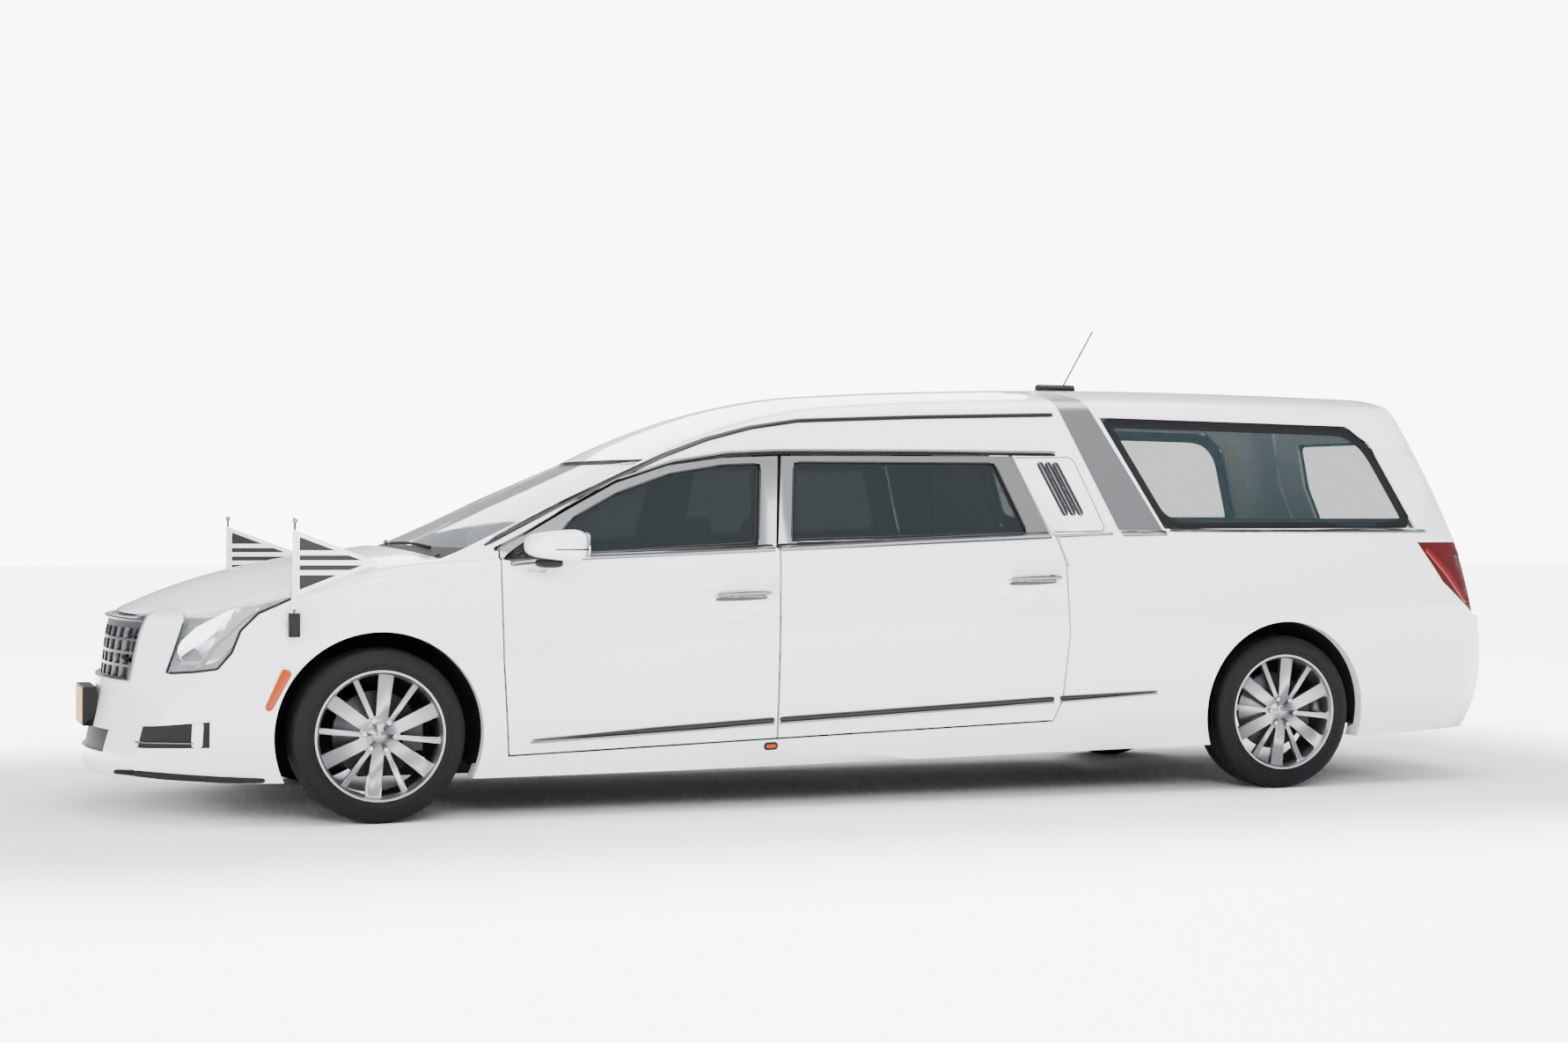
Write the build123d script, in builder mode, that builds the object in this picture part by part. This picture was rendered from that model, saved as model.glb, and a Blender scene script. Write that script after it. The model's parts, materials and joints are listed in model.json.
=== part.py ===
from build123d import *
import os

# White four-door hearse with a raised roof and a glazed casket bay.
# Millimetres. X runs rearwards, the car faces -X, -Y is its left side, Z is up.
# The origin is on the ground at mid length. Lengths first, then shares of them.

# Whole car
FRONT_OVERHANG = 1070.0
WHEELBASE = 4120.0
REAR_OVERHANG = 1330.0
HALF_WIDTH = 926.0
ROOF_HEIGHT = 1820.0
BODY_WALL = 50.0
ROOF_WALL = 34.0
SEAT_GAP = 0.3
OVERRUN = 40.0
CLEAR = 5.0

# Wheels, steering and brakes
TRACK = 1590.0
TYRE_RADIUS = 346.0
TYRE_WIDTH = 226.0
RIM_RADIUS = 259.0
ARCH_RADIUS = 410.0
LINER_WALL = 12.0
LINER_INNER_Y = 500.0
KINGPIN_Y = 720.0
SPINDLE_RADIUS = 30.0
DISC_RADIUS = 172.0
DISC_THICKNESS = 24.0

# Shut lines, hinges and glass
SHUT_GAP = 8.0
FRAME_GAP = 13.0
HINGE_SETBACK = 70.0
HINGE_INSET = 20.0
PIN_RADIUS = 5.0
KNUCKLE_HEIGHT = 34.0
HOOD_WALL = 24.0
GLASS_THICKNESS = 6.0
GLASS_INSET = 12.0

# Cabin
FLOOR_THICKNESS = 16.0
FRAME_INSET = 100.0
FRAME_DEPTH = 45.0
CARD_DEPTH = 34.0

FRONT_AXLE_X = -(FRONT_OVERHANG + WHEELBASE + REAR_OVERHANG) / 2 + FRONT_OVERHANG
REAR_AXLE_X = FRONT_AXLE_X + WHEELBASE
WHEEL_Y = TRACK / 2
AXLES = (("front", FRONT_AXLE_X), ("rear", REAR_AXLE_X))
SIDES = (("left", -1), ("right", 1))

# Body below the belt, one row a cross-section. x is behind the front axle over the wheelbase,
# half widths are over HALF_WIDTH and heights over ROOF_HEIGHT.
# x, sill y, sill z, bulge y, bulge z, corner y, corner z, crown z, corner radius
LOWER_SHARES = (
    (-0.272, 0.448, 0.093, 0.464, 0.264, 0.432, 0.396, 0.404, 0.016),
    (-0.194, 0.707, 0.093, 0.726, 0.275, 0.691, 0.437, 0.477, 0.025),
    (-0.121, 0.886, 0.093, 0.905, 0.302, 0.864, 0.475, 0.534, 0.030),
    (0.000, 0.972, 0.093, 0.989, 0.330, 0.955, 0.549, 0.584, 0.033),
    (0.109, 0.977, 0.093, 0.996, 0.341, 0.963, 0.569, 0.615, 0.027),
    (0.316, 0.975, 0.096, 1.000, 0.352, 0.977, 0.587, 0.632, 0.025),
    (0.752, 0.975, 0.110, 1.000, 0.363, 0.977, 0.632, 0.665, 0.025),
    (1.044, 0.972, 0.121, 0.996, 0.374, 0.974, 0.640, 0.670, 0.025),
    (1.214, 0.896, 0.132, 0.921, 0.374, 0.905, 0.637, 0.665, 0.025),
    (1.347, 0.713, 0.137, 0.734, 0.374, 0.718, 0.632, 0.659, 0.025),
)

# Greenhouse in three lofts. x, base y, base z, shoulder y, shoulder z, crown z, shoulder radius
WINDSCREEN_SHARES = (
    (0.024, 0.950, 0.495, 0.940, 0.527, 0.574, 0.005),
    (0.267, 0.972, 0.522, 0.786, 0.780, 0.812, 0.018),
)
DOME_SHARES = (
    (0.267, 0.972, 0.522, 0.786, 0.780, 0.812, 0.018),
    (0.388, 0.972, 0.538, 0.732, 0.887, 0.923, 0.033),
    (0.510, 0.972, 0.549, 0.706, 0.931, 0.970, 0.047),
)
ROOF_SHARES = (
    (0.510, 0.972, 0.549, 0.706, 0.931, 0.970, 0.047),
    (0.777, 0.972, 0.571, 0.691, 0.957, 0.998, 0.054),
    (1.044, 0.963, 0.577, 0.685, 0.959, 1.001, 0.055),
    (1.299, 0.853, 0.577, 0.583, 0.951, 0.992, 0.055),
)

# Nose and tail seen from above: height, nose x, tail x. The sweeps are how far the ends
# fall back at SWEEP_Y off the centre line.
BODY_PLAN_SHARES = (
    (0.275, -0.2500, 1.3228),
    (0.540, -0.2045, 1.2960),
    (0.800, -0.1590, 1.2470),
    (1.071, -0.1117, 1.1796),
)
BUMPER_PLAN_SHARES = (
    (0.055, -0.2403, 1.2621),
    (0.137, -0.2561, 1.2961),
    (0.231, -0.2476, 1.3180),
    (0.330, -0.2403, 1.3226),
    (0.467, -0.2257, 1.3204),
)
SWEEP_Y_SHARE = 1.08
NOSE_SWEEP_SHARE = 0.136
TAIL_SWEEP_SHARE = 0.073


# Side view outlines, in shares of the wheelbase behind the front axle and of the roof height
FRONT_DOOR_SHARES = (
    (0.1255, 0.1423),
    (0.1197, 0.3516),
    (0.1180, 0.5412),
    (0.1194, 0.5962),
    (0.1468, 0.6264),
    (0.1942, 0.6857),
    (0.2427, 0.7423),
    (0.2995, 0.7841),
    (0.3568, 0.8033),
    (0.4180, 0.8099),
    (0.4044, 0.5923),
    (0.4017, 0.1637),
)
REAR_DOOR_SHARES = (
    (0.4042, 0.1637),
    (0.4069, 0.5923),
    (0.4219, 0.8099),
    (0.6837, 0.8181),
    (0.7160, 0.6291),
    (0.7279, 0.5610),
    (0.7316, 0.3923),
    (0.7238, 0.2346),
    (0.7136, 0.1868),
)
FRONT_WINDOW_SHARES = (
    (0.1602, 0.5758),
    (0.1942, 0.6621),
    (0.2427, 0.7198),
    (0.2995, 0.7648),
    (0.3568, 0.7868),
    (0.3981, 0.7912),
    (0.3859, 0.6044),
)
REAR_WINDOW_SHARES = (
    (0.4228, 0.6110),
    (0.4350, 0.7956),
    (0.6638, 0.8000),
    (0.6905, 0.6291),
)
QUARTER_WINDOW_SHARES = (
    (0.7980, 0.9181),
    (1.1165, 0.9093),
    (1.1454, 0.8632),
    (1.1864, 0.6484),
    (0.8546, 0.6440),
)
ROOF_LINE_SHARES = (
    (0.2427, 0.7538),
    (0.3434, 0.8473),
    (0.3915, 0.8758),
    (0.4449, 0.8945),
    (0.7468, 0.9231),
    (1.3592, 0.9385),
)
FRONT_BUMPER_SHARES = (
    (-0.3155, 0.0275),
    (-0.0874, 0.0275),
    (-0.0971, 0.3313),
    (-0.1415, 0.3313),
    (-0.1553, 0.3363),
    (-0.1942, 0.3198),
    (-0.1784, 0.4379),
    (-0.1784, 0.4945),
    (-0.3155, 0.4945),
)
REAR_BUMPER_SHARES = (
    (1.0413, 0.0275),
    (1.0413, 0.3846),
    (1.2044, 0.4115),
    (1.2500, 0.4203),
    (1.3835, 0.4203),
    (1.3835, 0.0275),
)
HEADLAMP_SHARES = (
    (-0.1932, 0.3253),
    (-0.1500, 0.3360),
    (-0.1370, 0.3720),
    (-0.1290, 0.4190),
    (-0.1130, 0.4560),
    (-0.0825, 0.4874),
    (-0.0728, 0.5275),
    (-0.1767, 0.5275),
    (-0.1767, 0.4379),
)
TAIL_LAMP_SHARES = (
    (1.1760, 0.6132),
    (1.2160, 0.5110),
    (1.2709, 0.4242),
    (1.3592, 0.4242),
    (1.3592, 0.6132),
)
BAND_SHARES = (
    (0.7367, 1.0440),
    (0.7430, 0.9780),
    (0.7988, 0.6401),
    (0.8524, 0.6401),
    (0.7796, 0.9780),
    (0.7731, 1.0440),
)

# Hood edge seen from above, from the nose to the cowl: x over the wheelbase, y over HALF_WIDTH
HOOD_EDGE_SHARES = (
    (-0.2913, 0.4536),
    (-0.1859, 0.4536),
    (-0.1738, 0.6803),
    (-0.1456, 0.7721),
    (-0.0825, 0.8510),
    (0.0228, 0.8639),
    (0.0595, 0.8261),
)
HOOD_REAR_SHARE = 0.0340
HOOD_LIP_SHARE = 0.4440

# Front and rear view outlines: y over HALF_WIDTH, z over ROOF_HEIGHT
WINDSCREEN_EDGE_SHARES = (
    (0.8639, 0.5962),
    (0.7754, 0.6978),
    (0.7181, 0.7995),
)
TAIL_DOOR_SHARES = (
    (0.6371, 0.4242),
    (0.6371, 0.7692),
    (0.5184, 0.9286),
)
TAIL_WINDOW_SHARES = (
    (0.4860, 0.6044),
    (0.4860, 0.7582),
    (0.4050, 0.8791),
)
GRILLE_SHARES = (
    (0.4650, 0.3038),
    (0.5100, 0.4374),
)


def station(x_share):
    """Millimetre place of a share of the wheelbase behind the front axle."""
    return FRONT_AXLE_X + x_share * WHEELBASE


def side_points(shares):
    """Points of a side view outline from (x, z) shares."""
    return [(station(x), z * ROOF_HEIGHT) for x, z in shares]


def lower_body(inset):
    """Sill, bulged flank and crowned top, lofted through the lower sections."""
    sections = []
    for x, sy, sz, by, bz, cy, cz, tz, radius in LOWER_SHARES:
        sill = (sy * HALF_WIDTH - inset, sz * ROOF_HEIGHT + inset)
        bulge = (by * HALF_WIDTH - inset, bz * ROOF_HEIGHT)
        corner = (cy * HALF_WIDTH - inset, cz * ROOF_HEIGHT - inset)
        crown = tz * ROOF_HEIGHT - inset
        with BuildSketch(Plane(origin=(station(x), 0, 0), x_dir=(0, 1, 0), z_dir=(1, 0, 0))) as cut:
            with BuildLine():
                Line((-sill[0], sill[1]), sill)
                ThreePointArc(sill, bulge, corner)
                ThreePointArc(corner, (0, crown), (-corner[0], corner[1]))
                ThreePointArc((-corner[0], corner[1]), (-bulge[0], bulge[1]), (-sill[0], sill[1]))
            make_face()
            fillet(cut.vertices().group_by(Axis.Y)[-1], radius * ROOF_HEIGHT)
        sections.append(cut.sketch.faces()[0])
    return loft(sections)


def greenhouse(shares, inset):
    """Side glass planes and crowned top of one stretch, lofted through its sections."""
    sections = []
    for x, by, bz, sy, sz, tz, radius in shares:
        base = (by * HALF_WIDTH - inset, bz * ROOF_HEIGHT - inset)
        shoulder = (sy * HALF_WIDTH - inset, sz * ROOF_HEIGHT - inset)
        crown = tz * ROOF_HEIGHT - inset
        with BuildSketch(Plane(origin=(station(x), 0, 0), x_dir=(0, 1, 0), z_dir=(1, 0, 0))) as cut:
            with BuildLine():
                Polyline((-shoulder[0], shoulder[1]), (-base[0], base[1]), base, shoulder)
                ThreePointArc(shoulder, (0, crown), (-shoulder[0], shoulder[1]))
            make_face()
            fillet(cut.vertices().group_by(Axis.Y)[-1], radius * ROOF_HEIGHT)
        sections.append(cut.sketch.faces()[0])
    return loft(sections)


def plan_block(shares, inset):
    """Block whose ends are the swept nose and tail, lofted through outlines seen from above."""
    y = SWEEP_Y_SHARE * HALF_WIDTH
    outlines = []
    for z, nose, tail in shares:
        nose_x = station(nose) + inset
        tail_x = station(tail) - inset
        nose_side = nose_x + NOSE_SWEEP_SHARE * WHEELBASE
        tail_side = tail_x - TAIL_SWEEP_SHARE * WHEELBASE
        with BuildSketch(Plane.XY.offset(z * ROOF_HEIGHT)) as outline:
            with BuildLine():
                ThreePointArc((nose_side, -y), (nose_x, 0), (nose_side, y))
                Line((nose_side, y), (tail_side, y))
                ThreePointArc((tail_side, y), (tail_x, 0), (tail_side, -y))
                Line((tail_side, -y), (nose_side, -y))
            make_face()
        outlines.append(outline.sketch.faces()[0])
    with BuildPart() as block:
        add(loft(outlines))
        extrude(outlines[0], amount=outlines[0].center().Z, dir=(0, 0, -1))
    return block.part


def bumper_solid(inset):
    """Lower body with the bumpers' fuller nose and tail."""
    with BuildPart() as body:
        add(lower_body(inset))
        add(plan_block(BUMPER_PLAN_SHARES, inset), mode=Mode.INTERSECT)
    return body.part


def side_prism(outline, inner_y, outer_y, grow=0.0):
    """Left side block under a side view outline, between two distances from the centre line."""
    with BuildPart() as prism:
        with BuildSketch(Plane.XZ.offset(inner_y)):
            with BuildLine():
                Polyline(*outline, close=True)
            make_face()
            if grow:
                offset(amount=grow, kind=Kind.INTERSECTION)
        extrude(amount=outer_y - inner_y)
    return prism.part


def end_prism(half_outline, from_x, to_x, grow=0.0):
    """Block along the car under a front view outline that is the same on both sides."""
    mirrored = [(-y, z) for y, z in reversed(half_outline)]
    with BuildPart() as prism:
        with BuildSketch(Plane(origin=(from_x, 0, 0), x_dir=(0, 1, 0), z_dir=(1, 0, 0))):
            with BuildLine():
                Polyline(*half_outline, *mirrored, close=True)
            make_face()
            if grow:
                offset(amount=grow, kind=Kind.INTERSECTION)
        extrude(amount=to_x - from_x)
    return prism.part


def end_points(shares):
    """Points of a front view outline from (y, z) shares."""
    return [(y * HALF_WIDTH, z * ROOF_HEIGHT) for y, z in shares]


def nose_solid(inset):
    """Lower body inside the upper plan outline."""
    with BuildPart() as body:
        add(lower_body(inset))
        add(plan_block(BODY_PLAN_SHARES, inset), mode=Mode.INTERSECT)
    return body.part


def glasshouse_solid(inset):
    """Everything above the belt, on its own."""
    with BuildPart() as top:
        for shares in (WINDSCREEN_SHARES, DOME_SHARES, ROOF_SHARES):
            add(greenhouse(shares, inset))
        add(plan_block(BODY_PLAN_SHARES, inset), mode=Mode.INTERSECT)
    return top.part


def layer(outer, inner, shift, within):
    """What lies within a block between a solid and another one set back by a shift."""
    with BuildPart() as shell:
        add(within)
        add(outer, mode=Mode.INTERSECT)
        add(inner.moved(Location(shift)), mode=Mode.SUBTRACT)
    return shell.part


def mirrored_part(solid):
    """The same piece on the car's other side."""
    return mirror(solid, about=Plane.XZ, mode=Mode.PRIVATE)


def block(from_point, to_point):
    """Plain block between two corners."""
    with BuildPart() as brick:
        with Locations(from_point):
            Box(*(b - a for a, b in zip(from_point, to_point)), align=(Align.MIN, Align.MIN, Align.MIN))
    return brick.part


def save(builder, name):
    """Label a finished piece and write its file."""
    builder.part.label = name
    export_step(builder.part, "parts/" + name + ".step")


os.makedirs("parts", exist_ok=True)

OUTER_Y = HALF_WIDTH + OVERRUN
REACH = WHEELBASE
HIGH = ROOF_HEIGHT + OVERRUN

# Whole skins that the panels are cut from
nose_outside = nose_solid(0)
with BuildPart() as body_inside:
    add(nose_solid(BODY_WALL))
    add(glasshouse_solid(ROOF_WALL))
with BuildPart() as body_wall:
    add(nose_outside)
    add(glasshouse_solid(0))
    add(body_inside, mode=Mode.SUBTRACT)
bumper_outside = bumper_solid(0)
with BuildPart() as bumper_wall:
    add(bumper_outside)
    add(bumper_solid(BODY_WALL), mode=Mode.SUBTRACT)
seated_inside = lower_body(BODY_WALL + SEAT_GAP)
SILL_INNER_Y = 796.0
UNDER_TOP = 300.0
UNDER_SHARES = (-0.1200, 1.2000)
with BuildPart() as underbody:
    add(block((station(UNDER_SHARES[0]), -SILL_INNER_Y, 0),
              (station(UNDER_SHARES[1]), SILL_INNER_Y, UNDER_TOP)))

# Shut line prisms
front_door_outline = side_points(FRONT_DOOR_SHARES)
rear_door_outline = side_points(REAR_DOOR_SHARES)
BELT_Z = FRONT_DOOR_SHARES[2][1] * ROOF_HEIGHT
with BuildPart() as door_openings:
    for outline in (front_door_outline, rear_door_outline):
        add(side_prism(outline, 0, OUTER_Y, SHUT_GAP))
        with BuildSketch(Plane.XZ):
            with BuildLine():
                Polyline(*[point for point in outline if point[1] > BELT_Z], close=True)
            make_face()
            offset(amount=FRAME_GAP, kind=Kind.INTERSECTION)
        extrude(amount=OUTER_Y)

with BuildPart() as arches:
    for axle_name, axle_x in AXLES:
        with BuildSketch(Plane.XZ.offset(LINER_INNER_Y - LINER_WALL)):
            with Locations((axle_x, TYRE_RADIUS)):
                Circle(ARCH_RADIUS)
        extrude(amount=OUTER_Y - LINER_INNER_Y + LINER_WALL)

roof_edge = side_points(ROOF_LINE_SHARES)
bumper_cut = side_prism(side_points(FRONT_BUMPER_SHARES), -OUTER_Y, OUTER_Y)
tail_bumper_cut = side_prism(side_points(REAR_BUMPER_SHARES), -OUTER_Y, OUTER_Y)
band_cut = side_prism(side_points(BAND_SHARES), -OUTER_Y, OUTER_Y)
roof_outline = roof_edge + [(roof_edge[-1][0], HIGH), (roof_edge[0][0], HIGH)]
windscreen_half = end_points(WINDSCREEN_EDGE_SHARES)
windscreen_from = station(WINDSCREEN_SHARES[0][0])
windscreen_to = station(DOME_SHARES[1][0])
windscreen_prism = end_prism(windscreen_half, windscreen_from, windscreen_to)
cowl_half = [(windscreen_half[0][0], BELT_Z - BODY_WALL * 2), windscreen_half[0]]
cowl_prism = end_prism(cowl_half, windscreen_from, windscreen_to)

tail_from = station(ROOF_SHARES[2][0])
tail_to = station(ROOF_SHARES[3][0]) + REAR_OVERHANG
TAIL_TOP_DROP = 14.0
tail_door_half = end_points(TAIL_DOOR_SHARES)
tail_door_edge = [(y, min(z, tail_door_half[-1][1] - TAIL_TOP_DROP)) for y, z in tail_door_half]
tail_door_prism = end_prism(tail_door_edge, tail_from, tail_to)
tail_opening = end_prism(tail_door_half, tail_from, tail_to, SHUT_GAP)

# Hood outline from above, as a block that also cuts the fenders and the bumper
hood_edge = [(station(x), y * HALF_WIDTH) for x, y in HOOD_EDGE_SHARES]
hood_rear_x = station(HOOD_REAR_SHARE)
hood_lip_z = HOOD_LIP_SHARE * ROOF_HEIGHT


def hood_prism(from_z, grow=0.0):
    """Block over the hood's outline, its rear edge one arc along the cowl."""
    corner = hood_edge[-1]
    with BuildPart() as prism:
        with BuildSketch(Plane.XY.offset(from_z)):
            with BuildLine():
                Polyline(*[(x, -y) for x, y in reversed(hood_edge)])
                Line((hood_edge[0][0], -hood_edge[0][1]), hood_edge[0])
                Polyline(*hood_edge)
                ThreePointArc(corner, (hood_rear_x, 0), (corner[0], -corner[1]))
            make_face()
            if grow:
                offset(amount=grow, kind=Kind.INTERSECTION)
        extrude(amount=HIGH - from_z)
    return prism.part


hood_opening = hood_prism(hood_lip_z - SHUT_GAP, SHUT_GAP)

# Roof: one panel from the windscreen header to the tail
with BuildPart() as roof:
    add(body_wall.part)
    add(side_prism(roof_outline, -OUTER_Y, OUTER_Y), mode=Mode.INTERSECT)
    add(windscreen_prism, mode=Mode.SUBTRACT)
    add(tail_opening, mode=Mode.SUBTRACT)
    add(band_cut, mode=Mode.SUBTRACT)
save(roof, "roof")

# Satin band over the roof and down both sides, ahead of the quarter window
with BuildPart() as roof_band:
    add(body_wall.part)
    add(band_cut, mode=Mode.INTERSECT)
    add(block((roof_edge[0][0], -OUTER_Y, 0), (roof_edge[-1][0], OUTER_Y, BAND_SHARES[2][1] * ROOF_HEIGHT)),
        mode=Mode.SUBTRACT)
save(roof_band, "roof_band")

# Body sides: pillar, cantrail, sill and quarter in one ring, left and right
FENDER_END = front_door_outline[1][0] - SHUT_GAP - OVERRUN / 2
TAIL_LAMP_Y = tail_door_half[0][0] + OVERRUN
side_low = [(FENDER_END, 0), (FENDER_END, HIGH), (roof_edge[0][0], HIGH)]
side_outline = side_low + roof_edge + [(roof_edge[-1][0], 0)]
tail_lamp_cut = side_prism(side_points(TAIL_LAMP_SHARES), TAIL_LAMP_Y, OUTER_Y)
quarter_window_cut = side_prism(side_points(QUARTER_WINDOW_SHARES), HALF_WIDTH / 2, OUTER_Y)
with BuildPart() as body_sides:
    add(body_wall.part)
    add(side_prism(side_outline, 0, OUTER_Y), mode=Mode.INTERSECT)
    for cutter in (door_openings.part, arches.part, windscreen_prism, cowl_prism, tail_opening,
                   quarter_window_cut, tail_bumper_cut, tail_lamp_cut, band_cut, underbody.part):
        add(cutter, mode=Mode.SUBTRACT)
    mirror(about=Plane.XZ)
save(body_sides, "body_sides")

# Fenders, from the bumper seam to the front door
SOCKET_X_SHARE = -0.0830
SOCKET_LOW = 740.0
SOCKET_HIGH = 832.0
SOCKET_WIDTH = 44.0
SOCKET_SEAT = 850.0
socket_x = station(SOCKET_X_SHARE)
socket_cut = block((socket_x - SOCKET_WIDTH / 4, -OUTER_Y, SOCKET_LOW + SOCKET_WIDTH / 4),
                   (socket_x + SOCKET_WIDTH / 4, -SOCKET_SEAT, SOCKET_HIGH - SOCKET_WIDTH / 4))
NOSE_X = station(HOOD_EDGE_SHARES[0][0])
headlamp_cut = side_prism(side_points(HEADLAMP_SHARES), 0, OUTER_Y)
fender_outline = [(NOSE_X, 0), (FENDER_END, 0), (FENDER_END, HIGH), (NOSE_X, HIGH)]
with BuildPart() as fenders:
    add(body_wall.part)
    add(side_prism(fender_outline, 0, OUTER_Y), mode=Mode.INTERSECT)
    for cutter in (arches.part, windscreen_prism, cowl_prism, hood_opening, bumper_cut, headlamp_cut,
                   socket_cut, underbody.part):
        add(cutter, mode=Mode.SUBTRACT)
    mirror(about=Plane.XZ)
save(fenders, "fenders")

# Side doors: skin, window frame, inner card, hinge pockets and pull handle
HINGE_HEIGHTS = (440.0, 720.0)
HINGE_ARM = 18.0
EYE_RADIUS = 7.0
POCKET_BACK = 60.0
POCKET_DEPTH = 48.0
HANDLE_LENGTH = 236.0
HANDLE_HEIGHT = 26.0
HANDLE_STAND = 22.0
CARD_MARGIN = 45.0
CARD_LAP = 6.0
HINGE_Y = HALF_WIDTH - HINGE_INSET
POST_Y = HALF_WIDTH - FRAME_INSET
glass_outside = glasshouse_solid(GLASS_INSET)
with BuildPart() as glass_layer:
    add(glass_outside)
    add(glasshouse_solid(GLASS_INSET + GLASS_THICKNESS), mode=Mode.SUBTRACT)

# name, outline, window, handle's middle as shares of the wheelbase and of the roof height
DOORS = (
    ("front", front_door_outline, FRONT_WINDOW_SHARES, 0.3626, 0.4934),
    ("rear", rear_door_outline, REAR_WINDOW_SHARES, 0.6887, 0.5258),
)
MIRROR_FOOT = (36.0, 24.0)
MIRROR_FOOT_X_SHARE = 0.1530
MIRROR_FOOT_Z = 1000.0
MIRROR_SEAT_Y = 878.0
mirror_x = station(MIRROR_FOOT_X_SHARE)
mirror_seat = block((mirror_x - MIRROR_FOOT[0], -OUTER_Y, MIRROR_FOOT_Z - MIRROR_FOOT[1] / 2),
                    (mirror_x + MIRROR_FOOT[0], -MIRROR_SEAT_Y, MIRROR_FOOT_Z + MIRROR_FOOT[1] / 2))


def hinge_x(outline):
    """Hinge line of a door, set back from its front edge."""
    return min(x for x, z in outline) + HINGE_SETBACK


for door_name, outline, window, handle_share, handle_z_share in DOORS:
    pin_x = hinge_x(outline)
    window_cut = side_prism(side_points(window), HALF_WIDTH / 2, OUTER_Y)
    with BuildPart() as card_block:
        add(side_prism(outline, HALF_WIDTH / 2, OUTER_Y, -CARD_MARGIN))
        add(block((pin_x - HINGE_SETBACK, -OUTER_Y, 0), (pin_x + CARD_MARGIN, 0, HIGH)), mode=Mode.SUBTRACT)
        add(block((pin_x, -OUTER_Y, BELT_Z), (pin_x + WHEELBASE, 0, HIGH)), mode=Mode.SUBTRACT)
    card = layer(seated_inside.moved(Location((0, -CARD_LAP, 0))), seated_inside, (0, CARD_DEPTH, 0),
                 card_block.part)
    with BuildPart() as door:
        add(body_wall.part)
        add(side_prism(outline, HALF_WIDTH / 2, OUTER_Y), mode=Mode.INTERSECT)
        add(card)
        add(window_cut, mode=Mode.SUBTRACT)
        with BuildSketch(Plane.XZ.offset(HALF_WIDTH - HANDLE_STAND)):
            with Locations((station(handle_share), handle_z_share * ROOF_HEIGHT)):
                SlotOverall(HANDLE_LENGTH, HANDLE_HEIGHT)
        extrude(amount=2 * HANDLE_STAND)
        for z in HINGE_HEIGHTS:
            add(block((pin_x - POCKET_BACK, -HINGE_Y - EYE_RADIUS - SEAT_GAP, z - HINGE_ARM / 2 - SEAT_GAP),
                      (pin_x + EYE_RADIUS + CLEAR, -HINGE_Y + POCKET_DEPTH, z + HINGE_ARM / 2 + SEAT_GAP)),
                mode=Mode.SUBTRACT)
            with Locations((pin_x, -HINGE_Y, z)):
                Cylinder(PIN_RADIUS + SEAT_GAP, KNUCKLE_HEIGHT + 2 * SEAT_GAP, mode=Mode.SUBTRACT)
        if door_name == "front":
            add(mirror_seat, mode=Mode.SUBTRACT)
    with BuildPart() as glass:
        add(glass_layer.part)
        add(window_cut, mode=Mode.INTERSECT)
    for side_name, side in SIDES:
        with BuildPart() as sided_door:
            add(door) if side < 0 else mirror(door.part, about=Plane.XZ)
        save(sided_door, door_name + "_door_" + side_name)
        with BuildPart() as sided_glass:
            add(glass) if side < 0 else mirror(glass.part, about=Plane.XZ)
        save(sided_glass, door_name + "_door_glass_" + side_name)

# Cabin frame: posts on the floor behind the doors' edges, with the hinge arms and pins
FLOOR_Z = 190.0
FLOOR_TOP = FLOOR_Z + FLOOR_THICKNESS
FRAME_LINE_SHARES = ((0.852, 0.1135), (0.892, 0.3500), (0.870, 0.5600), (0.655, 0.8800))
FRAME_TOP_Z = FRAME_LINE_SHARES[-1][1] * ROOF_HEIGHT
frame_line = [(FRAME_LINE_SHARES[0][0] * HALF_WIDTH, FLOOR_TOP)] + end_points(FRAME_LINE_SHARES[1:])
frame_inner = [(y - FRAME_DEPTH, z) for y, z in reversed(frame_line)]

# Side view of each post, in shares of the wheelbase and of the roof height
POST_SHARES = (
    ((0.1120, 0.10), (0.1120, 0.530), (0.1520, 0.530), (0.1520, 0.10)),
    ((0.3900, 0.10), (0.3880, 0.58), (0.4030, 0.88), (0.4420, 0.88), (0.4320, 0.58), (0.4320, 0.10)),
    ((0.7230, 0.10), (0.7230, 0.58), (0.6990, 0.88), (0.7330, 0.88), (0.7570, 0.58), (0.7570, 0.10)),
)
SILL_RAIL_TOP = 262.0
with BuildPart() as frame_strip:
    with BuildSketch(Plane(origin=(FENDER_END, 0, 0), x_dir=(0, 1, 0), z_dir=(1, 0, 0))):
        with BuildLine():
            Polyline(*[(-y, z) for y, z in frame_line + frame_inner], close=True)
        make_face()
    extrude(amount=POST_SHARES[-1][-1][0] * WHEELBASE)
with BuildPart() as frame_outline:
    with BuildSketch(Plane.XZ):
        for post in POST_SHARES:
            with BuildLine():
                Polyline(*side_points(post), close=True)
            make_face()
        with BuildLine():
            Polyline((FENDER_END, FLOOR_TOP), (FENDER_END, SILL_RAIL_TOP),
                     (station(POST_SHARES[-1][-1][0]), SILL_RAIL_TOP),
                     (station(POST_SHARES[-1][-1][0]), FLOOR_TOP), close=True)
        make_face()
    extrude(amount=OUTER_Y)
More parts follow.
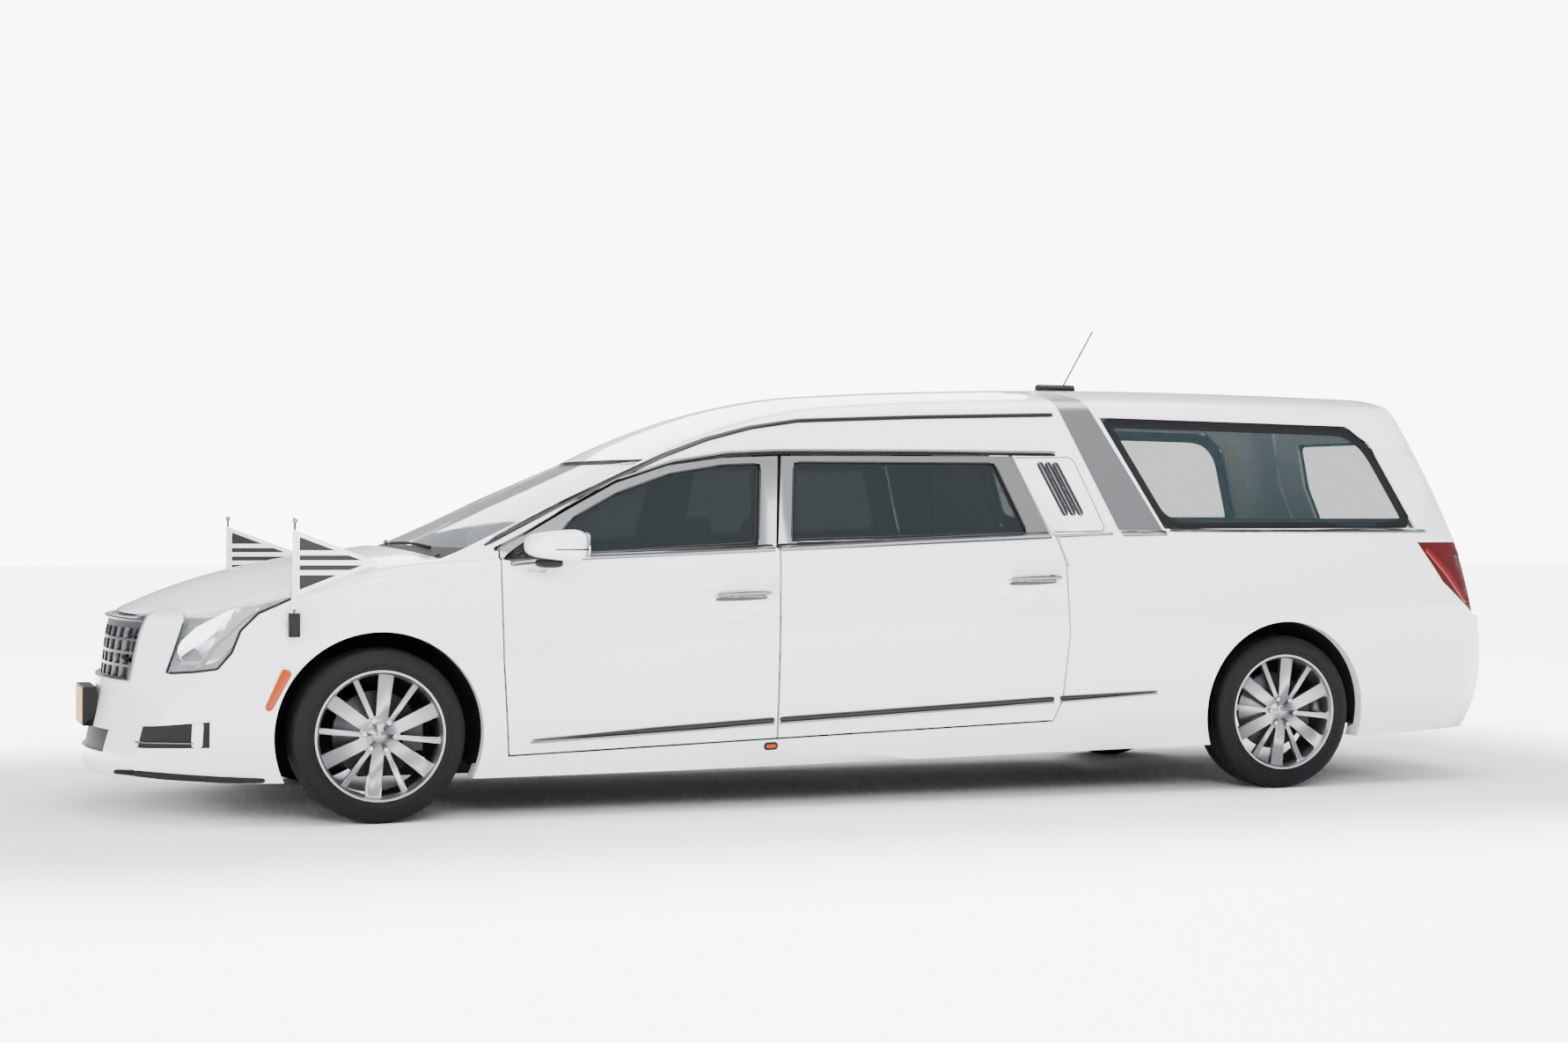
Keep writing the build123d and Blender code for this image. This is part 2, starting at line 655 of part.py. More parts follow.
with BuildPart() as cabin_frame:
    add(frame_strip)
    add(frame_outline, mode=Mode.INTERSECT)
    for outline in (front_door_outline, rear_door_outline):
        for z in HINGE_HEIGHTS:
            with BuildSketch(Plane.XY.offset(z - HINGE_ARM / 2)):
                with Locations((hinge_x(outline), -HINGE_Y)):
                    Circle(EYE_RADIUS)
                with Locations((hinge_x(outline), -(HINGE_Y + POST_Y - FRAME_DEPTH) / 2)):
                    Rectangle(2 * PIN_RADIUS, HINGE_Y - POST_Y + FRAME_DEPTH)
            extrude(amount=HINGE_ARM)
            with Locations((hinge_x(outline), -HINGE_Y, z)):
                Cylinder(PIN_RADIUS, KNUCKLE_HEIGHT)
    mirror(about=Plane.XZ)
save(cabin_frame, "cabin_frame")

# Fixed glass
with BuildPart() as windscreen:
    add(glass_layer.part)
    add(windscreen_prism, mode=Mode.INTERSECT)
save(windscreen, "windscreen")
with BuildPart() as quarter_glass:
    add(glass_layer.part)
    add(quarter_window_cut, mode=Mode.INTERSECT)
    mirror(about=Plane.XZ)
save(quarter_glass, "quarter_glass")

# Hood, hinged at its rear corners on two lugs
HOOD_PIN_BACK = 17.0
HOOD_PIN_Y = 690.0
HOOD_LUG = 20.0
HOOD_LUG_RADIUS = 11.0
HOOD_PIN_Z = 1020.0
hood_pin_x = hood_edge[-1][0] + HOOD_PIN_BACK
with BuildPart() as hood:
    add(layer(nose_outside, nose_outside, (HOOD_WALL, 0, -HOOD_WALL), hood_prism(hood_lip_z)))
    for side_name, side in SIDES:
        with BuildSketch(Plane.XZ.offset(-side * HOOD_PIN_Y - HOOD_LUG / 2)):
            with Locations((hood_pin_x, HOOD_PIN_Z)):
                Circle(HOOD_LUG_RADIUS)
            with Locations((hood_pin_x - OVERRUN / 2, HOOD_PIN_Z)):
                Rectangle(OVERRUN, 2 * HOOD_LUG_RADIUS)
            with Locations((hood_pin_x, HOOD_PIN_Z)):
                Circle(PIN_RADIUS + SEAT_GAP, mode=Mode.SUBTRACT)
        extrude(amount=HOOD_LUG)
save(hood, "hood")

# Cowl: the sunk shelf between hood and windscreen, with the hood's pins and the wiper posts
COWL_DEPTH = 18.0
COWL_HALF_WIDTH = cowl_half[0][0] - SEAT_GAP
PIN_POST = 15.0
# x, height of the shelf at its sides and on the centre line
COWL_SHARES = ((0.0050, 0.5290, 0.5670), (0.0595, 0.5420, 0.5810), (0.1220, 0.5520, 0.5970))
cowl_sections = []
for x, side_z, middle_z in COWL_SHARES:
    with BuildSketch(Plane(origin=(station(x), 0, 0), x_dir=(0, 1, 0), z_dir=(1, 0, 0))) as cut:
        with BuildLine():
            top, middle = side_z * ROOF_HEIGHT, middle_z * ROOF_HEIGHT
            ThreePointArc((-COWL_HALF_WIDTH, top), (0, middle), (COWL_HALF_WIDTH, top))
            Line((COWL_HALF_WIDTH, top), (COWL_HALF_WIDTH, top - COWL_DEPTH))
            ThreePointArc((COWL_HALF_WIDTH, top - COWL_DEPTH), (0, middle - COWL_DEPTH),
                          (-COWL_HALF_WIDTH, top - COWL_DEPTH))
            Line((-COWL_HALF_WIDTH, top - COWL_DEPTH), (-COWL_HALF_WIDTH, top))
        make_face()
    cowl_sections.append(cut.sketch.faces()[0])
with BuildPart() as seal:
    add(glass_layer.part)
    add(block((station(COWL_SHARES[0][0]), -COWL_HALF_WIDTH, BELT_Z),
              (station(COWL_SHARES[-1][0]), COWL_HALF_WIDTH, windscreen_half[0][1] - SEAT_GAP)),
        mode=Mode.INTERSECT)
    add(hood_prism(BELT_Z, OVERRUN / 2), mode=Mode.SUBTRACT)
with BuildPart() as cowl:
    loft(cowl_sections)
    add(seal)
    for side_name, side in SIDES:
        lug_inner = side * (HOOD_PIN_Y - HOOD_LUG / 2 - CLEAR)
        lug_outer = side * (HOOD_PIN_Y + HOOD_LUG / 2 + CLEAR)
        post_outer = lug_outer + side * PIN_POST
        add(block((hood_pin_x - OVERRUN - CLEAR, min(lug_inner, lug_outer), HOOD_PIN_Z - OVERRUN),
                  (hood_pin_x + HOOD_LUG_RADIUS + CLEAR, max(lug_inner, lug_outer), HIGH)), mode=Mode.SUBTRACT)
        add(block((hood_pin_x - PIN_RADIUS, min(lug_outer, post_outer), HOOD_PIN_Z - OVERRUN),
                  (hood_pin_x + PIN_RADIUS, max(lug_outer, post_outer), HOOD_PIN_Z + PIN_RADIUS)))
        with BuildSketch(Plane.XZ.offset(-post_outer)):
            with Locations((hood_pin_x, HOOD_PIN_Z)):
                Circle(PIN_RADIUS)
        extrude(amount=side * (HOOD_LUG + CLEAR + PIN_POST))
save(cowl, "cowl")

# Front bumper with grille, lower grille and fog openings
LOWER_GRILLE_SHARES = ((0.365, 0.1430), (0.380, 0.1930))
FOG_SHARES = ((-0.2215, 0.1620), (-0.1560, 0.1680), (-0.1560, 0.2240), (-0.2190, 0.2080))
FOG_Y = 560.0
MARKER_SHARES = ((-0.1100, 0.2550), (-0.1010, 0.2550), (-0.0985, 0.3270), (-0.1060, 0.3270))
grille_from = -(FRONT_OVERHANG + WHEELBASE + REAR_OVERHANG) / 2
grille_cut = end_prism(end_points(GRILLE_SHARES), grille_from, FRONT_AXLE_X)
lower_grille_cut = end_prism(end_points(LOWER_GRILLE_SHARES), grille_from, FRONT_AXLE_X)
fog_cut = side_prism(side_points(FOG_SHARES), FOG_Y, OUTER_Y)
marker_cut = side_prism(side_points(MARKER_SHARES), FOG_Y, OUTER_Y)
with BuildPart() as front_bumper:
    add(bumper_wall.part)
    add(bumper_cut, mode=Mode.INTERSECT)
    for cutter in (arches.part, mirrored_part(arches.part), hood_opening, grille_cut, lower_grille_cut,
                   underbody.part, fog_cut, mirrored_part(fog_cut), marker_cut, mirrored_part(marker_cut)):
        add(cutter, mode=Mode.SUBTRACT)
save(front_bumper, "front_bumper")

# Grilles: crate of rows and columns in the nose, and dark panels low down
GRILLE_ROWS = 4
GRILLE_COLUMNS = 11
GRILLE_BAR = 11.0
GRILLE_TOP_BAR = 34.0
GRILLE_INSET = 14.0
GRILLE_DEPTH = 26.0
grille_half = end_points(GRILLE_SHARES)
grille_low, grille_high = grille_half[0][1], grille_half[1][1]
row_pitch = (grille_high - GRILLE_TOP_BAR - grille_low) / GRILLE_ROWS
column_pitch = 2 * grille_half[1][0] / GRILLE_COLUMNS
with BuildPart() as grille_bars:
    with BuildSketch(Plane(origin=(grille_from, 0, 0), x_dir=(0, 1, 0), z_dir=(1, 0, 0))):
        for row in range(GRILLE_ROWS + 1):
            with Locations((0, grille_low + row * row_pitch)):
                Rectangle(2 * grille_half[1][0], GRILLE_BAR)
        with Locations((0, grille_high - GRILLE_TOP_BAR / 2)):
            Rectangle(2 * grille_half[1][0], GRILLE_TOP_BAR)
        with Locations((0, (grille_low + grille_high) / 2)):
            with GridLocations(column_pitch, 0, GRILLE_COLUMNS + 1, 1):
                Rectangle(GRILLE_BAR, grille_high - grille_low)
    extrude(amount=FRONT_OVERHANG)
set_back = bumper_outside.moved(Location((GRILLE_INSET, 0, 0)))
with BuildPart() as grille:
    add(layer(set_back, set_back, (GRILLE_DEPTH, 0, 0), grille_cut))
    add(grille_bars, mode=Mode.INTERSECT)
save(grille, "grille")
with BuildPart() as lower_grille:
    for opening in (lower_grille_cut, fog_cut, mirrored_part(fog_cut)):
        add(layer(set_back, set_back, (GRILLE_DEPTH, 0, 0), opening))
save(lower_grille, "lower_grille")

# Lamps, each the full depth of its place in the body
with BuildPart() as headlamps:
    add(body_wall.part)
    add(headlamp_cut, mode=Mode.INTERSECT)
    add(bumper_cut, mode=Mode.SUBTRACT)
    add(hood_opening, mode=Mode.SUBTRACT)
    mirror(about=Plane.XZ)
save(headlamps, "headlamps")
with BuildPart() as tail_lamps:
    add(body_wall.part)
    add(tail_lamp_cut, mode=Mode.INTERSECT)
    mirror(about=Plane.XZ)
save(tail_lamps, "tail_lamps")
with BuildPart() as marker_lamps:
    add(bumper_wall.part)
    add(marker_cut, mode=Mode.INTERSECT)
    mirror(about=Plane.XZ)
save(marker_lamps, "marker_lamps")

# Blank front plate in its holder
PLATE_WIDTH = 310.0
PLATE_HEIGHT = 158.0
PLATE_MIDDLE = 430.0
PLATE_DEPTH = 14.0
plate_x = grille_from
with BuildPart() as front_plate:
    add(block((plate_x, -PLATE_WIDTH / 2, PLATE_MIDDLE - PLATE_HEIGHT / 2),
              (plate_x + 4 * PLATE_DEPTH, PLATE_WIDTH / 2, PLATE_MIDDLE + PLATE_HEIGHT / 2)))
    add(bumper_outside.moved(Location((-SEAT_GAP, 0, 0))), mode=Mode.SUBTRACT)
save(front_plate, "front_plate")

# Rear bumper
with BuildPart() as rear_bumper:
    add(bumper_wall.part)
    add(tail_bumper_cut, mode=Mode.INTERSECT)
    for cutter in (arches.part, mirrored_part(arches.part), underbody.part):
        add(cutter, mode=Mode.SUBTRACT)
save(rear_bumper, "rear_bumper")

# Rear loading door, hinged on the left along its raked edge
TAIL_HINGE_Z = (930.0, 1330.0)
TAIL_SETBACK = 55.0
TAIL_PIN_INSET = 16.0
tail_window_cut = end_prism(end_points(TAIL_WINDOW_SHARES), tail_from, tail_to)
tail_hinge_y = tail_door_half[0][0] - TAIL_SETBACK


def tail_x_at(y, z):
    """Rear face of the body at a height and distance from the centre line, from the plan rows."""
    for low, high in zip(BODY_PLAN_SHARES, BODY_PLAN_SHARES[1:]):
        if low[0] * ROOF_HEIGHT <= z <= high[0] * ROOF_HEIGHT:
            part_way = (z / ROOF_HEIGHT - low[0]) / (high[0] - low[0])
            middle = station(low[2] + part_way * (high[2] - low[2]))
            return middle - TAIL_SWEEP_SHARE * WHEELBASE * (y / (SWEEP_Y_SHARE * HALF_WIDTH)) ** 2
    return tail_to


pin_low = Vector(tail_x_at(tail_hinge_y, TAIL_HINGE_Z[0]) - TAIL_PIN_INSET, -tail_hinge_y, TAIL_HINGE_Z[0])
pin_high = Vector(tail_x_at(tail_hinge_y, TAIL_HINGE_Z[1]) - TAIL_PIN_INSET, -tail_hinge_y, TAIL_HINGE_Z[1])
tail_axis = (pin_high - pin_low).normalized()
tail_planes = [Plane(origin=point, x_dir=(0, 1, 0), z_dir=tail_axis) for point in (pin_low, pin_high)]
with BuildPart() as tail_door:
    add(body_wall.part)
    add(tail_door_prism, mode=Mode.INTERSECT)
    add(tail_window_cut, mode=Mode.SUBTRACT)
    for plane in tail_planes:
        with BuildSketch(plane.offset(-HINGE_ARM / 2 - SEAT_GAP)):
            with BuildLine():
                Polyline((-TAIL_SETBACK, -EYE_RADIUS - SEAT_GAP), (EYE_RADIUS + CLEAR, -EYE_RADIUS - SEAT_GAP),
                         (EYE_RADIUS + CLEAR, BODY_WALL * 2), (-TAIL_SETBACK, BODY_WALL * 2), close=True)
            make_face()
        extrude(amount=HINGE_ARM + 2 * SEAT_GAP, mode=Mode.SUBTRACT)
        with BuildSketch(plane.offset(-KNUCKLE_HEIGHT / 2 - SEAT_GAP)):
            Circle(PIN_RADIUS + SEAT_GAP)
        extrude(amount=KNUCKLE_HEIGHT + 2 * SEAT_GAP, mode=Mode.SUBTRACT)
save(tail_door, "tail_door")
with BuildPart() as tail_door_glass:
    add(glass_layer.part)
    add(tail_window_cut, mode=Mode.INTERSECT)
save(tail_door_glass, "tail_door_glass")

# Brackets and pins for the loading door, fixed to the rear corner
BRACKET_REACH = 95.0
BRACKET_WIDTH = 25.0
BRACKET_SIDE = 150.0
BRACKET_BACK = 60.0
seated_shell = body_inside.part.moved(Location((-SEAT_GAP, 0, 0)))
with BuildPart() as tail_hinges:
    for plane in tail_planes:
        with BuildSketch(plane.offset(-KNUCKLE_HEIGHT / 2)):
            with BuildLine():
                Polyline((-TAIL_SETBACK - BRACKET_WIDTH, BRACKET_REACH), (-BRACKET_SIDE, BRACKET_REACH),
                         (-BRACKET_SIDE, -BRACKET_BACK), (-TAIL_SETBACK - BRACKET_WIDTH, -BRACKET_BACK), close=True)
            make_face()
        extrude(amount=KNUCKLE_HEIGHT)
    add(seated_shell, mode=Mode.INTERSECT)
    for plane in tail_planes:
        with BuildSketch(plane.offset(-HINGE_ARM / 2)):
            Circle(EYE_RADIUS)
            with BuildLine():
                Polyline((-PIN_RADIUS, 0), (-PIN_RADIUS, BRACKET_REACH - BRACKET_WIDTH),
                         (-TAIL_SETBACK - 2 * BRACKET_WIDTH, BRACKET_REACH - BRACKET_WIDTH),
                         (-TAIL_SETBACK - 2 * BRACKET_WIDTH, BRACKET_REACH), (PIN_RADIUS, BRACKET_REACH),
                         (PIN_RADIUS, 0), close=True)
            make_face()
        extrude(amount=HINGE_ARM)
        with BuildSketch(plane.offset(-KNUCKLE_HEIGHT / 2)):
            Circle(PIN_RADIUS)
        extrude(amount=KNUCKLE_HEIGHT)
save(tail_hinges, "tail_hinges")

# Door mirrors, each with a foot let into the front door's skin
MIRROR_LENGTH = 250.0
MIRROR_HEIGHT = 150.0
MIRROR_INNER_Y = 945.0
MIRROR_OUTER_Y = 1150.0
MIRROR_LOW = 1022.0
MIRROR_ROUND = 34.0
with BuildPart() as mirror_left:
    mirror_front = mirror_x - MIRROR_LENGTH / 2 + MIRROR_FOOT[0]
    add(block((mirror_front, -MIRROR_OUTER_Y, MIRROR_LOW),
              (mirror_front + MIRROR_LENGTH, -MIRROR_INNER_Y, MIRROR_LOW + MIRROR_HEIGHT)))
    fillet(mirror_left.edges().filter_by(Axis.Y), MIRROR_ROUND)
    fillet(mirror_left.faces().sort_by(Axis.Y)[0].edges(), MIRROR_ROUND / 2)
    add(block((mirror_x - MIRROR_FOOT[0] + SEAT_GAP, -MIRROR_INNER_Y - MIRROR_ROUND,
               MIRROR_FOOT_Z - MIRROR_FOOT[1] / 2 + SEAT_GAP),
              (mirror_x + MIRROR_FOOT[0] - SEAT_GAP, -MIRROR_SEAT_Y - SEAT_GAP,
               MIRROR_FOOT_Z + MIRROR_FOOT[1] / 2 - SEAT_GAP)))
    add(block((mirror_x - MIRROR_FOOT[0] + SEAT_GAP, -MIRROR_INNER_Y - MIRROR_ROUND, MIRROR_FOOT_Z),
              (mirror_x + MIRROR_FOOT[0] - SEAT_GAP, -MIRROR_INNER_Y, MIRROR_LOW + MIRROR_ROUND)))
save(mirror_left, "mirror_left")
with BuildPart() as mirror_right:
    mirror(mirror_left.part, about=Plane.XZ)
save(mirror_right, "mirror_right")

# Wheels: rim with six broad and six narrow spokes, hub and brake disc, and a tyre
RIM_HALF = 105.0
RIM_LIP_DEPTH = 12.0
BARREL_RADIUS = 246.0
BARREL_WALL = 8.0
FACE_Y = 84.0
SPOKE_DEPTH = 22.0
SPOKE_ROOT = 40.0
SPOKE_TIP = 62.0
NARROW_ROOT = 14.0
NARROW_TIP = 25.0
SPOKE_COUNT = 6
SPOKE_TURN = 24.0
HUB_RADIUS = 80.0
BEARING_RADIUS = 56.0
CAP_RADIUS = 30.0
CAP_PROUD = 9.0
TYRE_SHOULDER = 26.0
DISC_Y = -14.0
BORE_END = 10.0

with BuildPart() as rim:
    with BuildSketch(Plane.YZ):
        with BuildLine():
            Polyline((-RIM_HALF, RIM_RADIUS), (-RIM_HALF + RIM_LIP_DEPTH, RIM_RADIUS),
                     (-RIM_HALF + 2 * RIM_LIP_DEPTH, BARREL_RADIUS),
                     (RIM_HALF - 2 * RIM_LIP_DEPTH, BARREL_RADIUS),
                     (RIM_HALF - RIM_LIP_DEPTH, RIM_RADIUS), (RIM_HALF, RIM_RADIUS),
                     (RIM_HALF, RIM_RADIUS - BARREL_WALL),
                     (RIM_HALF - 2 * RIM_LIP_DEPTH, BARREL_RADIUS - BARREL_WALL),
                     (-RIM_HALF + 2 * RIM_LIP_DEPTH, BARREL_RADIUS - BARREL_WALL),
                     (-RIM_HALF, RIM_RADIUS - BARREL_WALL), close=True)
        make_face()
    revolve(axis=Axis.Y)
    with BuildSketch(Plane.XZ.offset(FACE_Y - SPOKE_DEPTH)):
        spoke_end = BARREL_RADIUS - BARREL_WALL / 2
        for root, tip, turn in ((SPOKE_ROOT, SPOKE_TIP, 0), (NARROW_ROOT, NARROW_TIP, 180 / SPOKE_COUNT)):
            with PolarLocations(0, SPOKE_COUNT, start_angle=turn + SPOKE_TURN):
                Polygon((0, -root / 2), (spoke_end, -tip / 2), (spoke_end, tip / 2), (0, root / 2), align=None)
        Circle(HUB_RADIUS)
    extrude(amount=SPOKE_DEPTH)
    with BuildSketch(Plane.XZ.offset(FACE_Y)):
        Circle(CAP_RADIUS)
    extrude(amount=CAP_PROUD)
    disc_plane = Plane.XZ.offset(DISC_Y - DISC_THICKNESS / 2)
    with BuildSketch(disc_plane):
        Circle(BEARING_RADIUS)
    extrude(amount=FACE_Y - SPOKE_DEPTH - DISC_Y + DISC_THICKNESS / 2)
    with BuildSketch(disc_plane):
        Circle(DISC_RADIUS)
    extrude(amount=DISC_THICKNESS)
    with BuildSketch(disc_plane):
        Circle(SPINDLE_RADIUS + SEAT_GAP)
    extrude(amount=DISC_THICKNESS + BORE_END, mode=Mode.SUBTRACT)
with BuildPart() as tyre:
    with BuildSketch(Plane.YZ) as tyre_cut:
        with Locations((0, (TYRE_RADIUS + RIM_RADIUS + SEAT_GAP) / 2)):
            Rectangle(TYRE_WIDTH, TYRE_RADIUS - RIM_RADIUS - SEAT_GAP)
        fillet(tyre_cut.vertices().group_by(Axis.Y)[-1], TYRE_SHOULDER)
    revolve(axis=Axis.Y)
for axle_name, axle_x in AXLES:
    for side_name, side in SIDES:
        turned = 0 if side < 0 else 180
        for piece, piece_name in ((rim, "wheel_"), (tyre, "tyre_")):
            with BuildPart() as placed:
                with Locations(Location((axle_x, side * WHEEL_Y, TYRE_RADIUS), (0, 0, turned))):
                    add(piece.part)
            save(placed, piece_name + axle_name + "_" + side_name)

# Steering knuckles with calipers
UPRIGHT_WIDTH = 70.0
UPRIGHT_DEPTH = 46.0
UPRIGHT_REACH = 128.0
BALL_RADIUS = 14.0
BALL_LENGTH = 34.0
CALIPER_IN = 105.0
CALIPER_OUT = 186.0
CALIPER_HALF = 68.0
CALIPER_WALL = 12.0
disc_low_y = WHEEL_Y + DISC_Y - DISC_THICKNESS / 2
disc_high_y = disc_low_y + DISC_THICKNESS
spindle_end = disc_high_y + BORE_END - 2 * SEAT_GAP


def caliper(axle_x, mount_y):
    """Left caliper astride the disc behind the axle, with its bracket back to the carrier."""
    low = disc_low_y - CLEAR - CALIPER_WALL
    high = disc_high_y + CLEAR + CALIPER_WALL
    with BuildPart() as brake:
        add(block((axle_x + CALIPER_IN, -high, TYRE_RADIUS - CALIPER_HALF),
                  (axle_x + CALIPER_OUT, -low, TYRE_RADIUS + CALIPER_HALF)))
        add(block((axle_x, -disc_high_y - CLEAR, 0), (axle_x + DISC_RADIUS + CLEAR, -disc_low_y + CLEAR, HIGH)),
            mode=Mode.SUBTRACT)
        add(block((axle_x, -low - CALIPER_WALL, TYRE_RADIUS - UPRIGHT_DEPTH),
                  (axle_x + CALIPER_IN + CALIPER_WALL, -mount_y, TYRE_RADIUS + UPRIGHT_DEPTH)))
    return brake.part


with BuildPart() as knuckle:
    add(block((FRONT_AXLE_X - UPRIGHT_WIDTH / 2, -KINGPIN_Y - UPRIGHT_DEPTH / 2, TYRE_RADIUS - UPRIGHT_REACH),
              (FRONT_AXLE_X + UPRIGHT_WIDTH / 2, -KINGPIN_Y + UPRIGHT_DEPTH / 2, TYRE_RADIUS + UPRIGHT_REACH)))
    with Locations((FRONT_AXLE_X, -KINGPIN_Y, TYRE_RADIUS)):
        Cylinder(BALL_RADIUS, 2 * (UPRIGHT_REACH + BALL_LENGTH))
    with BuildSketch(Plane.XZ.offset(KINGPIN_Y)):
        with Locations((FRONT_AXLE_X, TYRE_RADIUS)):
            Circle(SPINDLE_RADIUS)
    extrude(amount=spindle_end - KINGPIN_Y)
    add(caliper(FRONT_AXLE_X, KINGPIN_Y))
for side_name, side in SIDES:
    with BuildPart() as sided:
        add(knuckle) if side < 0 else mirror(knuckle.part, about=Plane.XZ)
    save(sided, "knuckle_" + side_name)

# Front subframe: crossmember, towers, and upper and lower arms out to the ball joints
ARM_THICKNESS = 20.0
ARM_EYE = 34.0
ARM_ROOT = 220.0
CROSS_WIDTH = 260.0
CROSS_TOP = 255.0
TOWER_Y = 440.0
TOWER_WALL = 44.0
RAIL_LOW = 140.0
RAIL_WIDTH = 60.0
RAIL_END_SHARE = 0.1700
arm_heights = (TYRE_RADIUS - UPRIGHT_REACH - CLEAR - ARM_THICKNESS, TYRE_RADIUS + UPRIGHT_REACH + CLEAR)
with BuildPart() as front_subframe:
    add(block((FRONT_AXLE_X - CROSS_WIDTH / 2, -TOWER_Y, arm_heights[0] - ARM_THICKNESS),
              (FRONT_AXLE_X + CROSS_WIDTH / 2, TOWER_Y, CROSS_TOP)))
    for side_name, side in SIDES:
        tower = (side * TOWER_Y, side * (TOWER_Y - TOWER_WALL))
        rail = (side * TOWER_Y, side * (TOWER_Y - RAIL_WIDTH))
        add(block((FRONT_AXLE_X, min(rail), RAIL_LOW), (station(RAIL_END_SHARE), max(rail), FLOOR_Z)))
        add(block((FRONT_AXLE_X - CROSS_WIDTH / 2, min(tower), CROSS_TOP - ARM_THICKNESS),
                  (FRONT_AXLE_X + CROSS_WIDTH / 2, max(tower), arm_heights[1] + ARM_THICKNESS)))
        for height in arm_heights:
            with BuildSketch(Plane.XY.offset(height)):
                with BuildLine():
                    Polyline((FRONT_AXLE_X - ARM_ROOT / 2, side * (TOWER_Y - TOWER_WALL / 2)),
                             (FRONT_AXLE_X + ARM_ROOT / 2, side * (TOWER_Y - TOWER_WALL / 2)),
                             (FRONT_AXLE_X + ARM_EYE, side * KINGPIN_Y),
                             (FRONT_AXLE_X - ARM_EYE, side * KINGPIN_Y), close=True)
                make_face()
                with Locations((FRONT_AXLE_X, side * KINGPIN_Y)):
                    Circle(ARM_EYE)
                    Circle(BALL_RADIUS + SEAT_GAP, mode=Mode.SUBTRACT)
            extrude(amount=ARM_THICKNESS)
save(front_subframe, "front_subframe")

# Engine, one block on the crossmember
ENGINE_LENGTH = 620.0
ENGINE_WIDTH = 620.0
ENGINE_HEIGHT = 530.0
with BuildPart() as engine_block:
    add(block((FRONT_AXLE_X - ENGINE_LENGTH / 2, -ENGINE_WIDTH / 2, CROSS_TOP),
              (FRONT_AXLE_X + ENGINE_LENGTH / 2 - OVERRUN, ENGINE_WIDTH / 2, CROSS_TOP + ENGINE_HEIGHT)))
    chamfer(engine_block.faces().sort_by(Axis.Z)[-1].edges().filter_by(Axis.X), ENGINE_HEIGHT / 4)
save(engine_block, "engine_block")

# Rear axle: beam, final drive, springs, carriers and calipers
BEAM_RADIUS = 35.0
DRIVE_RADIUS = 130.0
DRIVE_WIDTH = 200.0
SPRING_RADIUS = 52.0
SPRING_Y = 470.0
REAR_FLOOR_Z = 520.0
CARRIER_RADIUS = 62.0
carrier_y = disc_low_y - 3 * CLEAR
with BuildPart() as rear_axle:
    for radius, reach in ((BEAM_RADIUS, carrier_y), (DRIVE_RADIUS, DRIVE_WIDTH / 2), (SPINDLE_RADIUS, spindle_end)):
        with BuildSketch(Plane.XZ):
            with Locations((REAR_AXLE_X, TYRE_RADIUS)):
                Circle(radius)
        extrude(amount=reach, both=True)
    for side_name, side in SIDES:
        with BuildSketch(Plane.XZ.offset(-side * (carrier_y - UPRIGHT_DEPTH / 2))):
            with Locations((REAR_AXLE_X, TYRE_RADIUS)):
                Circle(CARRIER_RADIUS)
        extrude(amount=UPRIGHT_DEPTH / 2, both=True)
        with BuildSketch(Plane.XY.offset(TYRE_RADIUS)):
            with Locations((REAR_AXLE_X, side * SPRING_Y)):
                Circle(SPRING_RADIUS)
        extrude(amount=REAR_FLOOR_Z - TYRE_RADIUS)
    brake = caliper(REAR_AXLE_X, carrier_y - UPRIGHT_DEPTH)
    add(brake)
    add(mirrored_part(brake))
save(rear_axle, "rear_axle")

# Wheel house liners, open below
LINER_LOW = 225.0
LINER_SLOT = 125.0
LINER_SLOT_TOP = 545.0
liner_inner = ARCH_RADIUS + SEAT_GAP
with BuildPart() as left_liners:
    for axle_name, axle_x in AXLES:
        with BuildSketch(Plane.XZ.offset(LINER_INNER_Y - LINER_WALL)):
            with Locations((axle_x, TYRE_RADIUS)):
                Circle(liner_inner + LINER_WALL)
        extrude(amount=OUTER_Y - LINER_INNER_Y + LINER_WALL)
    add(seated_inside, mode=Mode.INTERSECT)
    for axle_name, axle_x in AXLES:
        with BuildSketch(Plane.XZ.offset(LINER_INNER_Y)):
            with Locations((axle_x, TYRE_RADIUS)):
                Circle(liner_inner)
        extrude(amount=OUTER_Y - LINER_INNER_Y, mode=Mode.SUBTRACT)
        add(block((axle_x - LINER_SLOT, -OUTER_Y, 0), (axle_x + LINER_SLOT, 0, LINER_SLOT_TOP)), mode=Mode.SUBTRACT)
    add(block((FRONT_AXLE_X - WHEELBASE, -OUTER_Y, 0), (REAR_AXLE_X + WHEELBASE, 0, LINER_LOW)), mode=Mode.SUBTRACT)
with BuildPart() as wheel_liners:
    add(left_liners)
    mirror(about=Plane.XZ)
save(wheel_liners, "wheel_liners")

